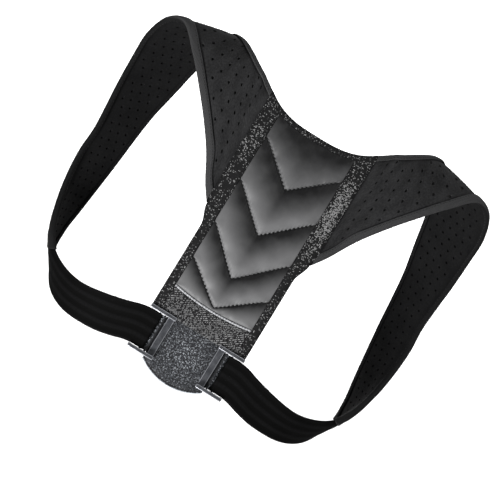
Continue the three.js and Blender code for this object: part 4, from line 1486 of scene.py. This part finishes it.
def make_camera(sizes):
    camera = bpy.data.cameras.new("photo_view")
    camera.sensor_width = SENSOR
    camera.lens = SENSOR * VIEW_DISTANCE / VIEW_WIDTH
    camera.clip_start, camera.clip_end = 1.0, 60.0
    holder = bpy.data.objects.new("photo_view", camera)
    azimuth, elevation, roll = (math.radians(a) for a in
                                (sizes.azimuth, sizes.elevation, sizes.roll))
    back = Vector((math.sin(azimuth) * math.cos(elevation),
                   -math.cos(azimuth) * math.cos(elevation), math.sin(elevation)))
    turn = (-back).to_track_quat("-Z", "Y").to_matrix() @ Matrix.Rotation(roll, 3, "Z")
    holder.location = AIM + back * VIEW_DISTANCE
    holder.rotation_euler = turn.to_euler()
    bpy.context.scene.collection.objects.link(holder)
    bpy.context.scene.camera = holder


def add_light(name, place, aim, size, power):
    light = bpy.data.lights.new(name, "AREA")
    light.shape, light.size, light.energy = "DISK", size, power
    holder = bpy.data.objects.new(name, light)
    holder.location = place
    direction = Vector(aim) - Vector(place)
    holder.rotation_euler = direction.to_track_quat("-Z", "Y").to_euler()
    bpy.context.scene.collection.objects.link(holder)


def make_backdrop():
    """Paper over floor and wall, in one sweep."""
    bm = bmesh.new()
    line = bm.edges.new([bm.verts.new((x, -WALL, FLOOR)) for x in (-REACH, REACH)])
    made = bmesh.ops.extrude_edge_only(bm, edges=[line])
    verts = of_kind(made["geom"], bmesh.types.BMVert)
    bmesh.ops.translate(bm, verts=verts, vec=(0, 2 * WALL - SWEEP, 0))
    edges = of_kind(made["geom"], bmesh.types.BMEdge)
    made = bmesh.ops.spin(bm, geom=[*verts, *edges], cent=(0, WALL - SWEEP, FLOOR + SWEEP),
                          axis=(1, 0, 0), angle=math.pi / 2, steps=20)
    made = bmesh.ops.extrude_edge_only(
        bm, edges=of_kind(made["geom_last"], bmesh.types.BMEdge))
    verts = of_kind(made["geom"], bmesh.types.BMVert)
    bmesh.ops.translate(bm, verts=verts, vec=(0, 0, WALL_TOP - FLOOR - SWEEP))
    mesh = mesh_of(bm, "backdrop")
    mesh.polygons.foreach_set("use_smooth", np.full(len(mesh.polygons), True))
    mesh.materials.append(material("backdrop"))
    backdrop = bpy.data.objects.new("backdrop", mesh)
    bpy.context.scene.collection.objects.link(backdrop)


def make_stage():
    scene = bpy.context.scene
    sizes = scene.brace_sizes
    make_backdrop()
    make_camera(sizes)
    for name, place, aim, size, power in LIGHTS:
        add_light(name, place, aim, size, power * sizes.light)
    world = bpy.data.worlds.new("studio")
    world.use_nodes = True
    ground = world.node_tree.nodes["Background"]
    ground.inputs["Color"].default_value = (1, 1, 1, 1)
    ground.inputs["Strength"].default_value = SKY * sizes.light
    scene.world = world
    scene.view_settings.view_transform = "Standard"


# Add-on

def length_property(name, description, default):
    return FloatProperty(name=name, description=f"{description}, in millimetres",
                         default=default, min=0.0, soft_max=4 * default)


def colour_property(name, description, default):
    return StringProperty(name=name, description=f"{description}, as an sRGB hex value",
                          default=default)


class BRACE_sizes(bpy.types.PropertyGroup):
    quilt_rise: length_property("Quilt rise", "How far the quilted fields stand out", 6.5)
    stitch_pitch: length_property("Stitch pitch", "Distance between quilting stitches", 4.8)
    hole: length_property("Hole", "Width of a perforation", 3.7)
    azimuth: FloatProperty(name="Azimuth", description="Turn of the camera round the brace",
                           default=-1.5, unit="NONE")
    elevation: FloatProperty(name="Elevation", description="Camera above the horizon",
                             default=-0.9, unit="NONE")
    roll: FloatProperty(name="Roll", description="Turn of the camera about its own axis",
                        default=31.5, unit="NONE")
    light: FloatProperty(name="Light", description="Strength of all studio lights",
                         default=1.0, min=0.0)


class BRACE_finish(bpy.types.PropertyGroup):
    leather: colour_property("Leather", "Colour of the quilted leather", "#7b7b7c")
    tab: colour_property("Tab", "Colour of the grained tab", "#3a3d43")
    pad: colour_property("Pad", "Colour of the pads' outer knit", "#3c3c3d")
    lining: colour_property("Lining", "Colour of the knit towards the wearer", "#161617")
    tape: colour_property("Tape", "Colour of the speckled tapes", "#222223")
    binding: colour_property("Binding", "Colour of the pads' bindings", "#5f5f60")
    elastic: colour_property("Elastic", "Colour of the elastic straps", "#050505")
    piping: colour_property("Piping", "Colour of the hem's piping", "#c9cacd")
    metal: colour_property("Metal", "Colour of the buckles", "#c4c6cc")


class BraceStep:
    """What the brace's operators share: each runs one making step."""

    bl_options = {"REGISTER", "UNDO"}

    def execute(self, context):
        type(self).step()
        return {"FINISHED"}


class BRACE_OT_quilting(BraceStep, bpy.types.Operator):
    """Puffed leather of the back panel, quilted in chevrons, with its thread"""
    bl_idname = "brace.quilting"
    bl_label = "Quilted leather"
    step = make_quilting


class BRACE_OT_piping(BraceStep, bpy.types.Operator):
    """Pale piping along the leather's hem"""
    bl_idname = "brace.piping"
    bl_label = "Hem piping"
    step = make_piping


class BRACE_OT_band(BraceStep, bpy.types.Operator):
    """Woven band below the leather"""
    bl_idname = "brace.band"
    bl_label = "Woven band"
    step = make_band


class BRACE_OT_neck(BraceStep, bpy.types.Operator):
    """Tape folded over the neck edge"""
    bl_idname = "brace.neck"
    bl_label = "Neck tape"
    step = make_neck_binding


class BRACE_OT_sides(BraceStep, bpy.types.Operator):
    """Webbing down both sides of the leather"""
    bl_idname = "brace.sides"
    bl_label = "Side webbing"
    step = make_side_tapes


class BRACE_OT_edges(BraceStep, bpy.types.Operator):
    """Tapes folded over the panel's lower sides"""
    bl_idname = "brace.edges"
    bl_label = "Edge tapes"
    step = make_edge_bindings


class BRACE_OT_pads(BraceStep, bpy.types.Operator):
    """Perforated pads over both shoulders"""
    bl_idname = "brace.pads"
    bl_label = "Shoulder pads"
    step = make_shoulder_pads


class BRACE_OT_lining(BraceStep, bpy.types.Operator):
    """Perforated lining behind the back panel"""
    bl_idname = "brace.lining"
    bl_label = "Padded lining"
    step = make_back_lining


class BRACE_OT_bindings(BraceStep, bpy.types.Operator):
    """Tapes folded over the pads' long edges, with their thread"""
    bl_idname = "brace.bindings"
    bl_label = "Pad bindings"
    step = make_pad_bindings


class BRACE_OT_elastic(BraceStep, bpy.types.Operator):
    """Elastic straps from the pads to the buckles"""
    bl_idname = "brace.elastic"
    bl_label = "Elastic straps"
    step = make_elastic_straps


class BRACE_OT_tab(BraceStep, bpy.types.Operator):
    """Grained leather tab, with its loops round the buckles' bars"""
    bl_idname = "brace.tab"
    bl_label = "Leather tab"
    step = make_tab


class BRACE_OT_buckles(BraceStep, bpy.types.Operator):
    """Metal strap buckles"""
    bl_idname = "brace.buckles"
    bl_label = "Strap buckles"
    step = make_buckles


class BRACE_OT_stage(BraceStep, bpy.types.Operator):
    """Paper backdrop, soft lights and the camera"""
    bl_idname = "brace.stage"
    bl_label = "Stage"
    step = make_stage


STEPS = (BRACE_OT_quilting, BRACE_OT_piping, BRACE_OT_band, BRACE_OT_neck,
         BRACE_OT_sides, BRACE_OT_edges, BRACE_OT_pads, BRACE_OT_lining,
         BRACE_OT_bindings, BRACE_OT_elastic, BRACE_OT_tab, BRACE_OT_buckles,
         BRACE_OT_stage)


class BRACE_PT_panel(bpy.types.Panel):
    """Sizes, colours and making steps of the brace"""
    bl_idname = "BRACE_PT_panel"
    bl_label = "Posture corrector"
    bl_space_type = "VIEW_3D"
    bl_region_type = "UI"
    bl_category = "Brace"

    def draw(self, context):
        for group in (context.scene.brace_sizes, context.scene.brace_finish):
            for name in group.bl_rna.properties.keys():
                if name not in ("rna_type", "name"):
                    self.layout.prop(group, name)
        for step in STEPS:
            self.layout.operator(step.bl_idname)


CLASSES = (BRACE_sizes, BRACE_finish, *STEPS, BRACE_PT_panel)


def register():
    for each in CLASSES:
        bpy.utils.register_class(each)
    bpy.types.Scene.brace_sizes = PointerProperty(type=BRACE_sizes)
    bpy.types.Scene.brace_finish = PointerProperty(type=BRACE_finish)


def unregister():
    del bpy.types.Scene.brace_finish
    del bpy.types.Scene.brace_sizes
    for each in reversed(CLASSES):
        bpy.utils.unregister_class(each)


def main():
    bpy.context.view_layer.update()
    register()
    for step in STEPS:
        group, name = step.bl_idname.split(".")
        getattr(getattr(bpy.ops, group), name)()


if __name__ == "__main__":
    main()
